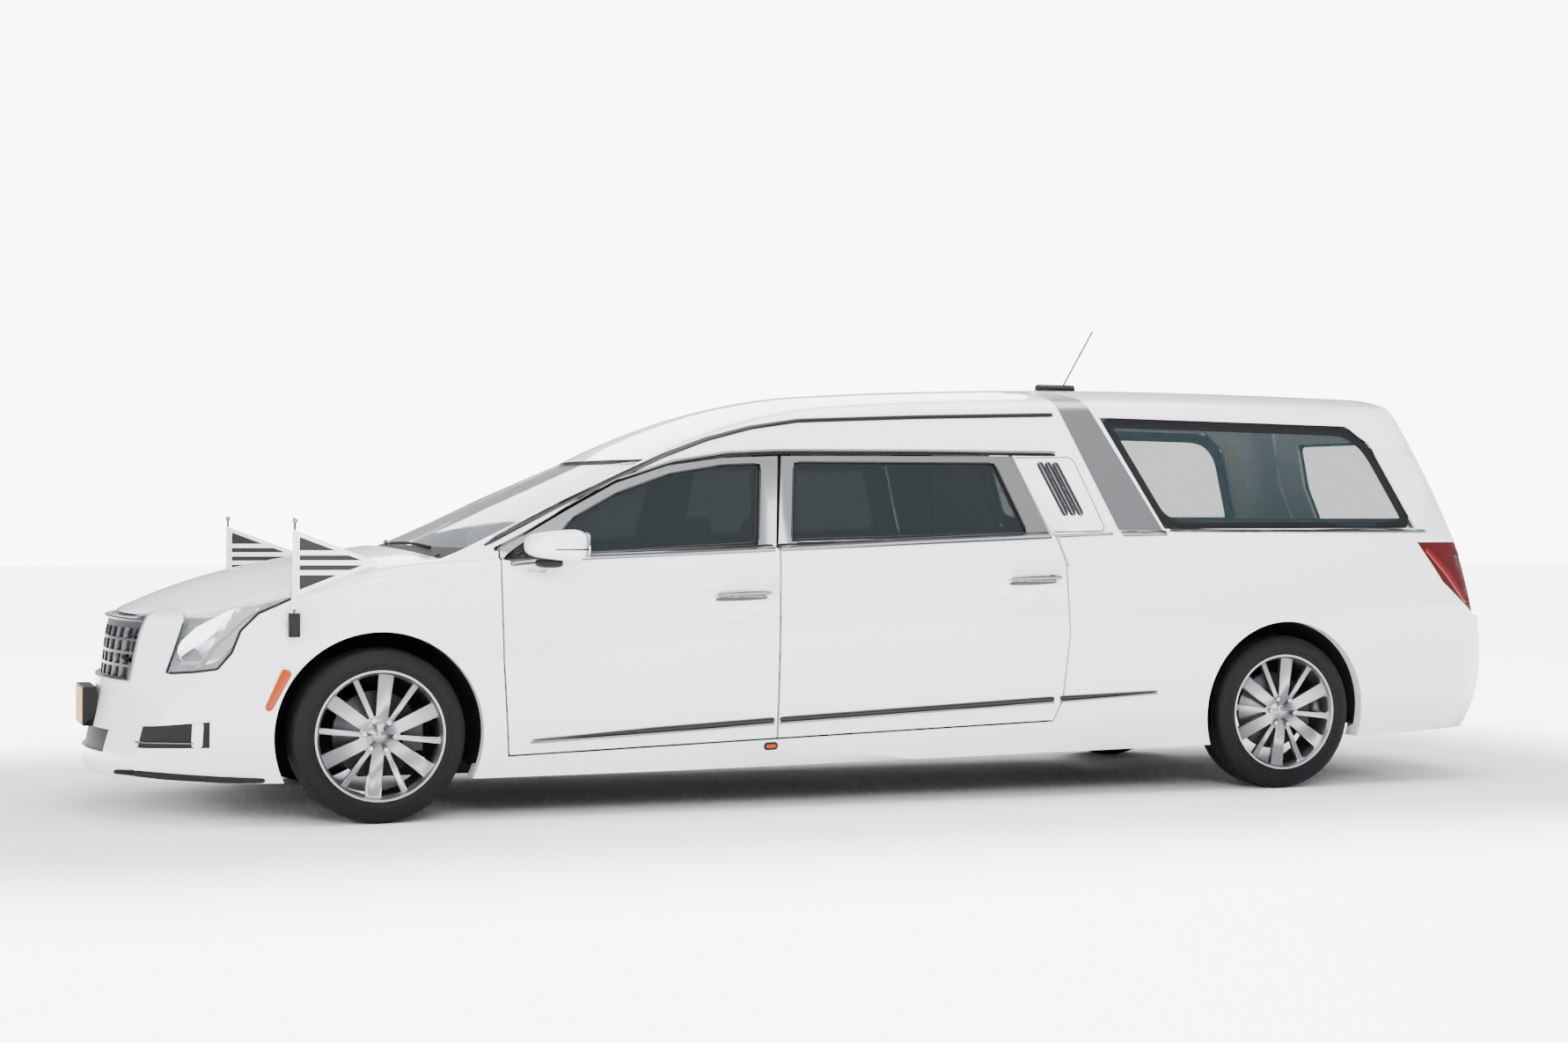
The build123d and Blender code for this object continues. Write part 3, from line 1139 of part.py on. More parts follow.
# Floor: firewall, cabin floor, kick-up and load floor in one pressing
FIREWALL_SHARE = 0.0740
FIREWALL_TOP = 960.0
TOE_SHARE = 0.1040
TOE_RISE = 80.0
KICK_SHARES = (0.8200, 0.8560)
FLOOR_END_SHARE = 1.2300
firewall_x, toe_x, kick_low, kick_high, floor_end = [
    station(x) for x in (FIREWALL_SHARE, TOE_SHARE, *KICK_SHARES, FLOOR_END_SHARE)]
with BuildPart() as floor_sheet:
    with BuildSketch(Plane.XZ):
        with BuildLine():
            Polyline((firewall_x, FIREWALL_TOP), (firewall_x, FLOOR_Z + TOE_RISE), (toe_x, FLOOR_Z),
                     (kick_low, FLOOR_Z), (kick_high, REAR_FLOOR_Z), (floor_end, REAR_FLOOR_Z),
                     (floor_end, REAR_FLOOR_Z + FLOOR_THICKNESS),
                     (kick_high - FLOOR_THICKNESS, REAR_FLOOR_Z + FLOOR_THICKNESS),
                     (kick_low - FLOOR_THICKNESS, FLOOR_TOP), (toe_x + FLOOR_THICKNESS, FLOOR_TOP),
                     (firewall_x + FLOOR_THICKNESS, FLOOR_Z + TOE_RISE + FLOOR_THICKNESS),
                     (firewall_x + FLOOR_THICKNESS, FIREWALL_TOP), close=True)
        make_face()
    extrude(amount=OUTER_Y, both=True)
with BuildPart() as low_floor:
    add(floor_sheet)
    add(block((firewall_x, -SILL_INNER_Y + SEAT_GAP, 0), (floor_end, SILL_INNER_Y - SEAT_GAP, UNDER_TOP)),
        mode=Mode.INTERSECT)
with BuildPart() as floor_pan:
    add(floor_sheet)
    add(block((firewall_x, -OUTER_Y, UNDER_TOP), (floor_end, OUTER_Y, HIGH)), mode=Mode.INTERSECT)
    add(seated_inside, mode=Mode.INTERSECT)
    add(low_floor)
    for axle_name, axle_x in AXLES:
        for side_name, side in SIDES:
            with BuildSketch(Plane.XZ.offset(-side * (LINER_INNER_Y - LINER_WALL - SEAT_GAP))):
                with Locations((axle_x, TYRE_RADIUS)):
                    Circle(liner_inner + LINER_WALL + SEAT_GAP)
            extrude(amount=-side * (OUTER_Y - LINER_INNER_Y + LINER_WALL), mode=Mode.SUBTRACT)
save(floor_pan, "floor_pan")

# Exhaust: pipe along the floor, over the axle and into the silencer
PIPE_RADIUS = 24.0
PIPE_Y = 250.0
PIPE_SHARES = ((0.080, 0.0910), (0.840, 0.0910), (0.885, 0.2500), (1.150, 0.2500))
SILENCER_RADIUS = 90.0
SILENCER_SHARES = (1.075, 1.190)
with BuildPart() as exhaust:
    with BuildLine() as pipe_line:
        FilletPolyline(*[(station(x), PIPE_Y, z * ROOF_HEIGHT) for x, z in PIPE_SHARES], radius=2 * PIPE_RADIUS)
    with BuildSketch(Plane(origin=pipe_line.line @ 0, z_dir=pipe_line.line % 0)):
        Circle(PIPE_RADIUS)
    sweep()
    silencer_x = station(SILENCER_SHARES[0])
    silencer_end = station(SILENCER_SHARES[1])
    silencer_z = PIPE_SHARES[-1][1] * ROOF_HEIGHT - 2 * PIPE_RADIUS
    with BuildSketch(Plane(origin=(silencer_x, PIPE_Y, silencer_z), x_dir=(0, 1, 0), z_dir=(1, 0, 0))):
        Circle(SILENCER_RADIUS)
    extrude(amount=silencer_end - silencer_x)
    add(block((silencer_x + OVERRUN, PIPE_Y - PIPE_RADIUS, silencer_z),
              (silencer_end - OVERRUN, PIPE_Y + PIPE_RADIUS, REAR_FLOOR_Z)))
    add(block((kick_low - 8 * OVERRUN, PIPE_Y - PIPE_RADIUS / 2, PIPE_SHARES[0][1] * ROOF_HEIGHT),
              (kick_low - 6 * OVERRUN, PIPE_Y + PIPE_RADIUS / 2, FLOOR_Z)))
save(exhaust, "exhaust")

# Dashboard against the firewall, with steering column and wheel on the left
DASH_HALF_WIDTH = 735.0
STEER_Y = -380.0
STEER_SHARE = 0.2280
STEER_Z = 905.0
STEER_RADIUS = 182.0
STEER_GRIP = 15.0
STEER_TILT = 25.0
# Dashboard's side view
DASH_SHARES = ((0.0760, 0.4000), (0.0760, 0.5240), (0.1350, 0.5400), (0.1900, 0.5080), (0.1950, 0.4500),
               (0.1550, 0.3500), (0.1000, 0.3500))
dash_front = firewall_x + FLOOR_THICKNESS + SEAT_GAP
with BuildPart() as dashboard:
    with BuildSketch(Plane.XZ):
        with BuildLine():
            Polyline(*[(max(x, dash_front), z) for x, z in side_points(DASH_SHARES)], close=True)
        make_face()
    extrude(amount=DASH_HALF_WIDTH, both=True)
    steer_plane = Plane(origin=(station(STEER_SHARE), STEER_Y, STEER_Z)).rotated((0, -90 - STEER_TILT, 0))
    with Locations(steer_plane):
        Torus(STEER_RADIUS, STEER_GRIP)
    with BuildSketch(steer_plane):
        Circle(3 * STEER_GRIP)
        Rectangle(2 * STEER_GRIP, 2 * STEER_RADIUS)
        Rectangle(2 * STEER_RADIUS, 2 * STEER_GRIP)
    extrude(amount=STEER_GRIP / 2, both=True)
    with BuildSketch(steer_plane):
        Circle(2 * STEER_GRIP)
    extrude(amount=STEER_RADIUS)
save(dashboard, "dashboard")

# Front seats, each with its base on the floor
SEAT_WIDTH = 500.0
SEAT_Y = 390.0
# Side view of cushion, back and head restraint, and of the base under them
SEAT_SHARES = ((0.2750, 0.2500), (0.2750, 0.3180), (0.3700, 0.3060), (0.4080, 0.5600), (0.4100, 0.6780),
               (0.4280, 0.6780), (0.4370, 0.5600), (0.4050, 0.2450))
BASE_SHARES = ((0.2950, 0.1000), (0.2950, 0.2600), (0.3850, 0.2600), (0.3850, 0.1000))
HEAD_LOW_SHARE = 0.5700
HEAD_WIDTH = 250.0
with BuildPart() as front_seats:
    for seat_y in (-SEAT_Y, SEAT_Y):
        with BuildSketch(Plane.XZ.offset(-seat_y)):
            with BuildLine():
                Polyline(*side_points(SEAT_SHARES), close=True)
            make_face()
        extrude(amount=SEAT_WIDTH / 2, both=True)
        with BuildSketch(Plane.XZ.offset(-seat_y)):
            with BuildLine():
                Polyline(*side_points(BASE_SHARES), close=True)
            make_face()
        extrude(amount=SEAT_WIDTH / 3, both=True)
        for edge_y in (seat_y - SEAT_WIDTH / 2, seat_y + HEAD_WIDTH / 2):
            add(block((station(SEAT_SHARES[0][0]), edge_y, HEAD_LOW_SHARE * ROOF_HEIGHT),
                      (station(SEAT_SHARES[-1][0]) + WHEELBASE, edge_y + (SEAT_WIDTH - HEAD_WIDTH) / 2, HIGH)),
                mode=Mode.SUBTRACT)
    add(block((station(SEAT_SHARES[0][0]), -OUTER_Y, 0), (station(POST_SHARES[-1][0][0]), OUTER_Y, FLOOR_TOP)),
        mode=Mode.SUBTRACT)
save(front_seats, "front_seats")

# Partition behind the seats
PARTITION_SHARE = 0.4700
PARTITION_WALL = 22.0
PARTITION_TOP = 1080.0
PARTITION_HALF = 730.0
with BuildPart() as partition:
    add(block((station(PARTITION_SHARE), -PARTITION_HALF, FLOOR_TOP),
              (station(PARTITION_SHARE) + PARTITION_WALL, PARTITION_HALF, PARTITION_TOP)))
save(partition, "partition")

# Casket deck on its risers, with the rollers it runs on, and the lined sides of the bay
DECK_SHARES = (0.5000, 1.2050)
DECK_HALF = 480.0
DECK_Z = 600.0
DECK_WALL = 30.0
PIN_HOLE_RADIUS = 8.5
PIN_SPACING = (1200.0, 860.0)
RISER_SHARES = (0.5200, 0.7400, 0.9700, 1.1700)
ROLLER_SHARES = (0.5600, 0.7000, 0.8400, 0.9800, 1.1200)
ROLLER_RADIUS = 22.0
ROLLER_HALF = 380.0
LINING_SHARES = (0.7800, 1.1000)
LINING_Y = 800.0
LINING_WALL = 14.0
LINING_LOW = 785.0
LINING_TOP = 1120.0
SHELF_WIDTH = 110.0
with BuildPart() as casket_deck:
    add(block((station(DECK_SHARES[0]), -DECK_HALF, DECK_Z), (station(DECK_SHARES[1]), DECK_HALF, DECK_Z + DECK_WALL)))
    for riser_share in RISER_SHARES:
        riser_foot = FLOOR_TOP if riser_share < KICK_SHARES[0] else REAR_FLOOR_Z + FLOOR_THICKNESS
        for riser_y in (-DECK_HALF, DECK_HALF - DECK_WALL):
            add(block((station(riser_share), riser_y, riser_foot),
                      (station(riser_share) + DECK_WALL, riser_y + DECK_WALL, DECK_Z)))
    for roller_share in ROLLER_SHARES:
        with BuildSketch(Plane.XZ):
            with Locations((station(roller_share), DECK_Z + DECK_WALL)):
                Circle(ROLLER_RADIUS)
        extrude(amount=ROLLER_HALF, both=True)
    with Locations(((station(DECK_SHARES[0]) + station(DECK_SHARES[1])) / 2, 0, DECK_Z + DECK_WALL / 2)):
        with GridLocations(*PIN_SPACING, 2, 2):
            Cylinder(PIN_HOLE_RADIUS, 2 * DECK_WALL, mode=Mode.SUBTRACT)
save(casket_deck, "casket_deck")
with BuildPart() as bay_lining:
    lining_from, lining_to = station(LINING_SHARES[0]), station(LINING_SHARES[1])
    add(block((lining_from, -LINING_Y, LINING_LOW), (lining_to, -LINING_Y + LINING_WALL, LINING_TOP)))
    add(block((lining_from, -OUTER_Y, LINING_TOP - LINING_WALL),
              (lining_to, -LINING_Y + SHELF_WIDTH, LINING_TOP)))
    add(seated_inside, mode=Mode.INTERSECT)
    mirror(about=Plane.XZ)
save(bay_lining, "bay_lining")

# Wipers, lying on the lower edge of the windscreen
WIPER_RADIUS = 6.0
WIPER_STAND = -8.0
# Places on the windscreen: way up it, then across it from -1 at the left edge
WIPER_SHARES = (
    ((0.175, -0.60), (0.150, -0.28), (0.125, 0.05)),
    ((0.120, 0.10), (0.165, 0.42), (0.225, 0.72)),
)


def windscreen_point(up, across, stand):
    """Point over the windscreen, from its first and last section rows."""
    rows = []
    for x, by, bz, sy, sz, tz, radius in WINDSCREEN_SHARES:
        rows.append(Vector(station(x), sy * HALF_WIDTH * across, (tz - (tz - sz) * across ** 2) * ROOF_HEIGHT))
    run = rows[1] - rows[0]
    lean = Vector(-run.Z, 0, run.X).normalized()
    return rows[0] + run * up + lean * stand


with BuildPart() as wipers:
    for points in WIPER_SHARES:
        with BuildLine() as wiper_line:
            Spline(*[windscreen_point(up, across, WIPER_STAND) for up, across in points])
        with BuildSketch(Plane(origin=wiper_line.line @ 0, z_dir=wiper_line.line % 0)):
            Circle(WIPER_RADIUS)
        sweep()
    add(glass_outside.moved(Location((0, 0, SEAT_GAP))), mode=Mode.SUBTRACT)
save(wipers, "wipers")

# Pennant poles on the fenders, their sockets let into the skin
SOCKET_INNER_Y = 884.0
SOCKET_OUTER_Y = 926.0
POLE_Y = 909.0
POLE_RADIUS = 5.0
POLE_TOP = 1191.0
BALL = 11.0
with BuildPart() as left_pole:
    add(block((socket_x - SOCKET_WIDTH / 2, -SOCKET_OUTER_Y, SOCKET_LOW),
              (socket_x + SOCKET_WIDTH / 2, -SOCKET_INNER_Y, SOCKET_HIGH)))
    fillet(left_pole.edges().filter_by(Axis.Z), SOCKET_WIDTH / 4)
    add(block((socket_x - SOCKET_WIDTH / 4 + SEAT_GAP, -POLE_Y, SOCKET_LOW + SOCKET_WIDTH / 4 + SEAT_GAP),
              (socket_x + SOCKET_WIDTH / 4 - SEAT_GAP, -SOCKET_SEAT - SEAT_GAP,
               SOCKET_HIGH - SOCKET_WIDTH / 4 - SEAT_GAP)))
    with BuildSketch(Plane.XY.offset(SOCKET_LOW)):
        with Locations((socket_x, -POLE_Y)):
            Circle(POLE_RADIUS)
    extrude(amount=POLE_TOP - SOCKET_LOW)
    with Locations((socket_x, -POLE_Y, POLE_TOP)):
        Sphere(BALL)
with BuildPart() as flag_poles:
    add(left_pole)
    mirror(about=Plane.XZ)
save(flag_poles, "flag_poles")

# Pennants against the poles
FLAG_THICKNESS = 1.5
FLAG_LENGTH = 330.0
FLAG_SHARES = (0.6330, 0.4940, 0.5650)
flag_x = socket_x + POLE_RADIUS + SEAT_GAP
for side_name, side in SIDES:
    with BuildPart() as flag:
        with BuildSketch(Plane.XZ.offset(-side * POLE_Y)):
            with BuildLine():
                Polyline((flag_x, FLAG_SHARES[0] * ROOF_HEIGHT), (flag_x, FLAG_SHARES[1] * ROOF_HEIGHT),
                         (flag_x + FLAG_LENGTH, FLAG_SHARES[2] * ROOF_HEIGHT), close=True)
            make_face()
        extrude(amount=FLAG_THICKNESS / 2, both=True)
    save(flag, "flag_" + side_name)

# Roof antenna: low base and whip
ANTENNA_SHARES = (0.8050, 0.8500)
ANTENNA_WIDTH = 56.0
ANTENNA_TOP = 1851.0
WHIP_RADIUS = 4.0
WHIP_FOOT_SHARE = 0.8380
WHIP_TIP = (0.8760, 2112.0)
with BuildPart() as antenna:
    add(block((station(ANTENNA_SHARES[0]), -ANTENNA_WIDTH / 2, ROOF_HEIGHT - OVERRUN),
              (station(ANTENNA_SHARES[1]), ANTENNA_WIDTH / 2, ANTENNA_TOP)))
    chamfer(antenna.faces().sort_by(Axis.Z)[-1].edges().filter_by(Axis.X), ANTENNA_WIDTH / 4)
    add(roof.part.moved(Location((0, 0, SEAT_GAP))), mode=Mode.SUBTRACT)
    add(block((station(ANTENNA_SHARES[0]), -ANTENNA_WIDTH, 0), (station(ANTENNA_SHARES[1]), ANTENNA_WIDTH,
                                                               ROOF_HEIGHT - ROOF_WALL / 2)), mode=Mode.SUBTRACT)
    with BuildLine() as whip_line:
        Line((station(WHIP_FOOT_SHARE), 0, ANTENNA_TOP - POLE_RADIUS), (station(WHIP_TIP[0]), 0, WHIP_TIP[1]))
    with BuildSketch(Plane(origin=whip_line.line @ 0, z_dir=whip_line.line % 0)):
        Circle(WHIP_RADIUS)
    sweep()
save(antenna, "antenna")
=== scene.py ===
import json
import math
import bmesh
import bpy
import numpy as np
from mathutils import Matrix, Vector
from mathutils.bvhtree import BVHTree


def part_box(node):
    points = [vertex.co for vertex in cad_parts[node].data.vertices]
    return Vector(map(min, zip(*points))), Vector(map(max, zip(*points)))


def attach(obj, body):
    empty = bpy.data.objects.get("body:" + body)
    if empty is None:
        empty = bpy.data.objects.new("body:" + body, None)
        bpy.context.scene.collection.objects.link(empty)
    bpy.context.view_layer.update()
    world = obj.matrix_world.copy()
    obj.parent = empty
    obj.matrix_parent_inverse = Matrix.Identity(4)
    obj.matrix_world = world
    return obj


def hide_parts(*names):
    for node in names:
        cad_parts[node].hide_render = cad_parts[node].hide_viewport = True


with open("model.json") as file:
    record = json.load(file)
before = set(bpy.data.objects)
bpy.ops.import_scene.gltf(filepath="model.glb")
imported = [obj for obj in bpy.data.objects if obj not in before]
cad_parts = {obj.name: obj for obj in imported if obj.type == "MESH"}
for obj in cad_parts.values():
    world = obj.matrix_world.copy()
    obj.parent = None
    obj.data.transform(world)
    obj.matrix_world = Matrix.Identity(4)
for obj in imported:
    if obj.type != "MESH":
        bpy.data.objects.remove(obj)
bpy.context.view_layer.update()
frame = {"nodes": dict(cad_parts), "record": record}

# The car stands with its front axle here; stations along it are counted rearwards from that axle.
FRONT_AXLE = -2.190
WHEELBASE = 4.120
AXLE_Z = 0.346
WHEEL_Y = 0.795


# Camera where the photograph was taken, at eye height well out from the car's left side,
# turned a little towards the nose, with a normal lens.
CAMERA_PLACE = (-1.9308 + FRONT_AXLE, -10.3878, 1.2317)
CAMERA_YAW = 0.3644
CAMERA_PITCH = 0.0034
CAMERA_ROLL = 0.0062
CAMERA_LENS = 55.87
SENSOR_WIDTH = 36.0
ahead = Vector((math.sin(CAMERA_YAW) * math.cos(CAMERA_PITCH), math.cos(CAMERA_YAW) * math.cos(CAMERA_PITCH),
                -math.sin(CAMERA_PITCH)))
level = Vector((math.cos(CAMERA_YAW), -math.sin(CAMERA_YAW), 0.0))
upward = level.cross(ahead)
right = level * math.cos(CAMERA_ROLL) + upward * math.sin(CAMERA_ROLL)
upward = upward * math.cos(CAMERA_ROLL) - level * math.sin(CAMERA_ROLL)
camera_data = bpy.data.cameras.new("camera")
camera_data.lens = CAMERA_LENS
camera_data.sensor_width = SENSOR_WIDTH
camera_data.clip_end = 100.0
camera = bpy.data.objects.new("camera", camera_data)
camera.matrix_world = Matrix((
    (right.x, upward.x, -ahead.x, CAMERA_PLACE[0]),
    (right.y, upward.y, -ahead.y, CAMERA_PLACE[1]),
    (right.z, upward.z, -ahead.z, CAMERA_PLACE[2]),
    (0.0, 0.0, 0.0, 1.0)))
bpy.context.scene.collection.objects.link(camera)
bpy.context.scene.camera = camera


# Studio: a white floor and backdrop lit from all round, with large soft lamps. The backdrop
# looks brighter to the camera than it shines, so that it fades out white as in the photograph.
FLOOR_COLOUR = (0.86, 0.86, 0.865)
FLOOR_SIZE = 90.0
SKY_COLOUR = (0.93, 0.96, 1.0)
SKY_LOW_COLOUR = (0.55, 0.56, 0.57)
HORIZON_SHARES = (0.48, 0.62)
SKY_STRENGTH = 1.1
BACKDROP_STRENGTH = 9.0
# name, place, aimed at, width, depth, power
STUDIO_LAMPS = (
    ("overhead", (0.5, -1.0, 7.0), (0.0, 0.0, 0.5), 9.0, 5.0, 1000.0),
    ("side", (-3.0, -9.0, 5.0), (0.0, 0.0, 0.7), 7.0, 3.0, 600.0),
    ("nose", (-9.0, -3.0, 3.5), (-2.0, 0.0, 0.8), 4.0, 3.0, 300.0),
    ("far", (2.0, 8.0, 5.0), (0.0, 0.0, 1.0), 6.0, 3.0, 400.0),
)


def principled(name, colour, roughness, metallic=0.0, coat=0.0, **more):
    """Material with one Principled shader."""
    material = bpy.data.materials.new(name)
    material.use_nodes = True
    shader = material.node_tree.nodes["Principled BSDF"]
    shader.inputs["Base Color"].default_value = (*colour[:3], 1.0)
    shader.inputs["Roughness"].default_value = roughness
    shader.inputs["Metallic"].default_value = metallic
    shader.inputs["Coat Weight"].default_value = coat
    shader.inputs["Coat Roughness"].default_value = 0.03
    for socket, value in more.items():
        shader.inputs[socket.replace("_", " ")].default_value = value
    return material


floor_mesh = bpy.data.meshes.new("floor")
half = FLOOR_SIZE / 2
floor_corners = [(-half, -half, 0), (half, -half, 0), (half, half, 0), (-half, half, 0)]
floor_mesh.from_pydata(floor_corners, [], [(0, 1, 2, 3)])
floor = bpy.data.objects.new("floor", floor_mesh)
bpy.context.scene.collection.objects.link(floor)
floor_white = principled("floor_white", FLOOR_COLOUR, 0.8)
floor_mesh.materials.append(floor_white)
# The floor glows white away from the car, and only its shadow shows near it.
GLOW_KEPT_CLEAR = (3.1, 0.85, 0.0)
GLOW_FROM = 0.55
GLOW_REACH = 2.6
GLOW_STRENGTH = 5.5
glow_nodes = floor_white.node_tree.nodes
glow_links = floor_white.node_tree.links
place = glow_nodes.new("ShaderNodeTexCoord")
beyond = glow_nodes.new("ShaderNodeVectorMath")
beyond.operation = "ABSOLUTE"
outside_car = glow_nodes.new("ShaderNodeVectorMath")
outside_car.operation = "SUBTRACT"
outside_car.inputs[1].default_value = GLOW_KEPT_CLEAR
clipped = glow_nodes.new("ShaderNodeVectorMath")
clipped.operation = "MAXIMUM"
clipped.inputs[1].default_value = (0.0, 0.0, 0.0)
distance = glow_nodes.new("ShaderNodeVectorMath")
distance.operation = "LENGTH"
glow = glow_nodes.new("ShaderNodeMapRange")
glow.interpolation_type = "SMOOTHSTEP"
glow.inputs["From Min"].default_value = GLOW_FROM
glow.inputs["From Max"].default_value = GLOW_REACH
glow.inputs["To Max"].default_value = GLOW_STRENGTH
glow_links.new(place.outputs["Object"], beyond.inputs[0])
glow_links.new(beyond.outputs[0], outside_car.inputs[0])
glow_links.new(outside_car.outputs[0], clipped.inputs[0])
glow_links.new(clipped.outputs[0], distance.inputs[0])
glow_links.new(distance.outputs["Value"], glow.inputs["Value"])
glow_links.new(glow.outputs["Result"], glow_nodes["Principled BSDF"].inputs["Emission Strength"])
glow_nodes["Principled BSDF"].inputs["Emission Color"].default_value = (1.0, 1.0, 1.0, 1.0)

world = bpy.data.worlds.new("sky")
bpy.context.scene.world = world
world.use_nodes = True
tree = world.node_tree
direction = tree.nodes.new("ShaderNodeTexCoord")
parts = tree.nodes.new("ShaderNodeSeparateXYZ")
ramp = tree.nodes.new("ShaderNodeValToRGB")
ramp.color_ramp.elements[0].position = HORIZON_SHARES[0]
ramp.color_ramp.elements[0].color = (*SKY_LOW_COLOUR, 1.0)
ramp.color_ramp.elements[1].position = HORIZON_SHARES[1]
ramp.color_ramp.elements[1].color = (*SKY_COLOUR, 1.0)
halve = tree.nodes.new("ShaderNodeMath")
halve.operation = "MULTIPLY_ADD"
halve.inputs[1].default_value = 0.5
halve.inputs[2].default_value = 0.5
tree.links.new(direction.outputs["Generated"], parts.inputs[0])
tree.links.new(parts.outputs["Z"], halve.inputs[0])
tree.links.new(halve.outputs[0], ramp.inputs["Fac"])
tree.links.new(ramp.outputs["Color"], tree.nodes["Background"].inputs["Color"])
tree.nodes["Background"].inputs["Strength"].default_value = SKY_STRENGTH
backdrop = tree.nodes.new("ShaderNodeBackground")
backdrop.inputs["Color"].default_value = (1.0, 1.0, 1.0, 1.0)
backdrop.inputs["Strength"].default_value = BACKDROP_STRENGTH
seen = tree.nodes.new("ShaderNodeLightPath")
choice = tree.nodes.new("ShaderNodeMixShader")
tree.links.new(seen.outputs["Is Camera Ray"], choice.inputs["Fac"])
tree.links.new(tree.nodes["Background"].outputs[0], choice.inputs[1])
tree.links.new(backdrop.outputs[0], choice.inputs[2])
tree.links.new(choice.outputs[0], tree.nodes["World Output"].inputs["Surface"])

for lamp_name, place, target, width, depth, power in STUDIO_LAMPS:
    lamp_data = bpy.data.lights.new("lamp_" + lamp_name, "AREA")
    lamp_data.shape = "RECTANGLE"
    lamp_data.size = width
    lamp_data.size_y = depth
    lamp_data.energy = power
    lamp = bpy.data.objects.new("lamp_" + lamp_name, lamp_data)
    lamp.location = place
    lamp.rotation_euler = (Vector(target) - Vector(place)).to_track_quat("-Z", "Y").to_euler()
    bpy.context.scene.collection.objects.link(lamp)


# Body panels: pressed steel, sprayed gloss white with a clear coat over it. Each is the CAD
# panel with its triangles joined, so that its skin shades smooth and its shut lines stay sharp.
WHITE = (0.80, 0.81, 0.82)
SATIN_SILVER = (0.25, 0.254, 0.258)
CREASE_ANGLE = math.radians(28)
JOIN_DISTANCE = 0.00005


def joined_copy(node, new_name, material):
    """Copy of a CAD node with doubles merged and smooth shading between its sharp edges."""
    body = next(name for name, members in frame["record"]["behaviour"]["bodies"].items() if node in members)
    mesh = frame["nodes"][node].data.copy()
    mesh.name = new_name
    shell = bmesh.new()
    shell.from_mesh(mesh)
    bmesh.ops.remove_doubles(shell, verts=shell.verts, dist=JOIN_DISTANCE)
    bmesh.ops.dissolve_degenerate(shell, edges=shell.edges, dist=JOIN_DISTANCE)
    shell.to_mesh(mesh)
    shell.free()
    mesh.materials.clear()
    mesh.materials.append(material)
    mesh.shade_smooth()
    mesh.set_sharp_from_angle(angle=CREASE_ANGLE)
    piece = bpy.data.objects.new(new_name, mesh)
    bpy.context.scene.collection.objects.link(piece)
    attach(piece, body)
    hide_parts(node)
    return piece


white_paint = principled("gloss_white_paint", WHITE, 0.35, coat=1.0)
for panel in ("roof", "body_sides", "fenders", "hood", "front_bumper", "rear_bumper", "tail_door"):
    joined_copy(panel, panel + "_skin", white_paint)


# Doors: white below the belt, with window frames and pillar covers in brushed silver above it.
# The belt line climbs gently to the rear, so the mask is a sloping plane.
BELT_FRONT = (0.600, 1.040)
BELT_REAR = (2.900, 1.140)
FRAME_EDGE = 0.003
door_paint = white_paint.copy()
door_paint.name = "door_paint"
nodes = door_paint.node_tree.nodes
links = door_paint.node_tree.links
shader = nodes["Principled BSDF"]
coordinate = nodes.new("ShaderNodeTexCoord")
split = nodes.new("ShaderNodeSeparateXYZ")
slope = (BELT_REAR[1] - BELT_FRONT[1]) / (BELT_REAR[0] - BELT_FRONT[0])
base_z = BELT_FRONT[1] - slope * (BELT_FRONT[0] + FRONT_AXLE)
belt = nodes.new("ShaderNodeMath")
belt.operation = "MULTIPLY_ADD"
belt.inputs[1].default_value = slope
belt.inputs[2].default_value = base_z
above = nodes.new("ShaderNodeMath")
above.operation = "SUBTRACT"
mask = nodes.new("ShaderNodeMapRange")
mask.inputs["From Min"].default_value = -FRAME_EDGE
mask.inputs["From Max"].default_value = FRAME_EDGE
colour_mix = nodes.new("ShaderNodeMix")
colour_mix.data_type = "RGBA"
colour_mix.inputs["A"].default_value = (*WHITE, 1.0)
colour_mix.inputs["B"].default_value = (*SATIN_SILVER, 1.0)
links.new(coordinate.outputs["Object"], split.inputs[0])
links.new(split.outputs["X"], belt.inputs[0])
links.new(split.outputs["Z"], above.inputs[0])
links.new(belt.outputs[0], above.inputs[1])
links.new(above.outputs[0], mask.inputs["Value"])
links.new(mask.outputs["Result"], colour_mix.inputs["Factor"])
links.new(colour_mix.outputs["Result"], shader.inputs["Base Color"])
links.new(mask.outputs["Result"], shader.inputs["Metallic"])
for door in ("front_door_left", "front_door_right", "rear_door_left", "rear_door_right"):
    joined_copy(door, door + "_skin", door_paint)


# Satin bands over the roof: brushed steel, bonded over the joint between roof and bay.
band_steel = principled("band_brushed_steel", SATIN_SILVER, 0.34, metallic=1.0)
joined_copy("roof_band", "roof_band_skin", band_steel)


# Glass: toughened panes. The doors have dark green grey glass, the windscreen and the casket bay
# a lighter tint, so that the cabin and the far windows show through.
GLASS_TINT = (0.004, 0.008, 0.0085)
door_glass = principled("door_glass", GLASS_TINT, 0.02)
door_glass.node_tree.nodes["Principled BSDF"].inputs["Alpha"].default_value = 0.80
screen_glass = principled("screen_glass", (0.045, 0.060, 0.062), 0.02, coat=1.0)
screen_glass.node_tree.nodes["Principled BSDF"].inputs["Alpha"].default_value = 0.52
bay_glass = principled("bay_glass", (0.012, 0.024, 0.027), 0.02)
bay_glass.node_tree.nodes["Principled BSDF"].inputs["Alpha"].default_value = 0.44
PANES = (
    ("windscreen", screen_glass), ("quarter_glass", bay_glass), ("tail_door_glass", bay_glass),
    ("front_door_glass_left", door_glass), ("front_door_glass_right", door_glass),
    ("rear_door_glass_left", door_glass), ("rear_door_glass_right", door_glass),
)
for pane, finish in PANES:
    joined_copy(pane, pane + "_pane", finish)


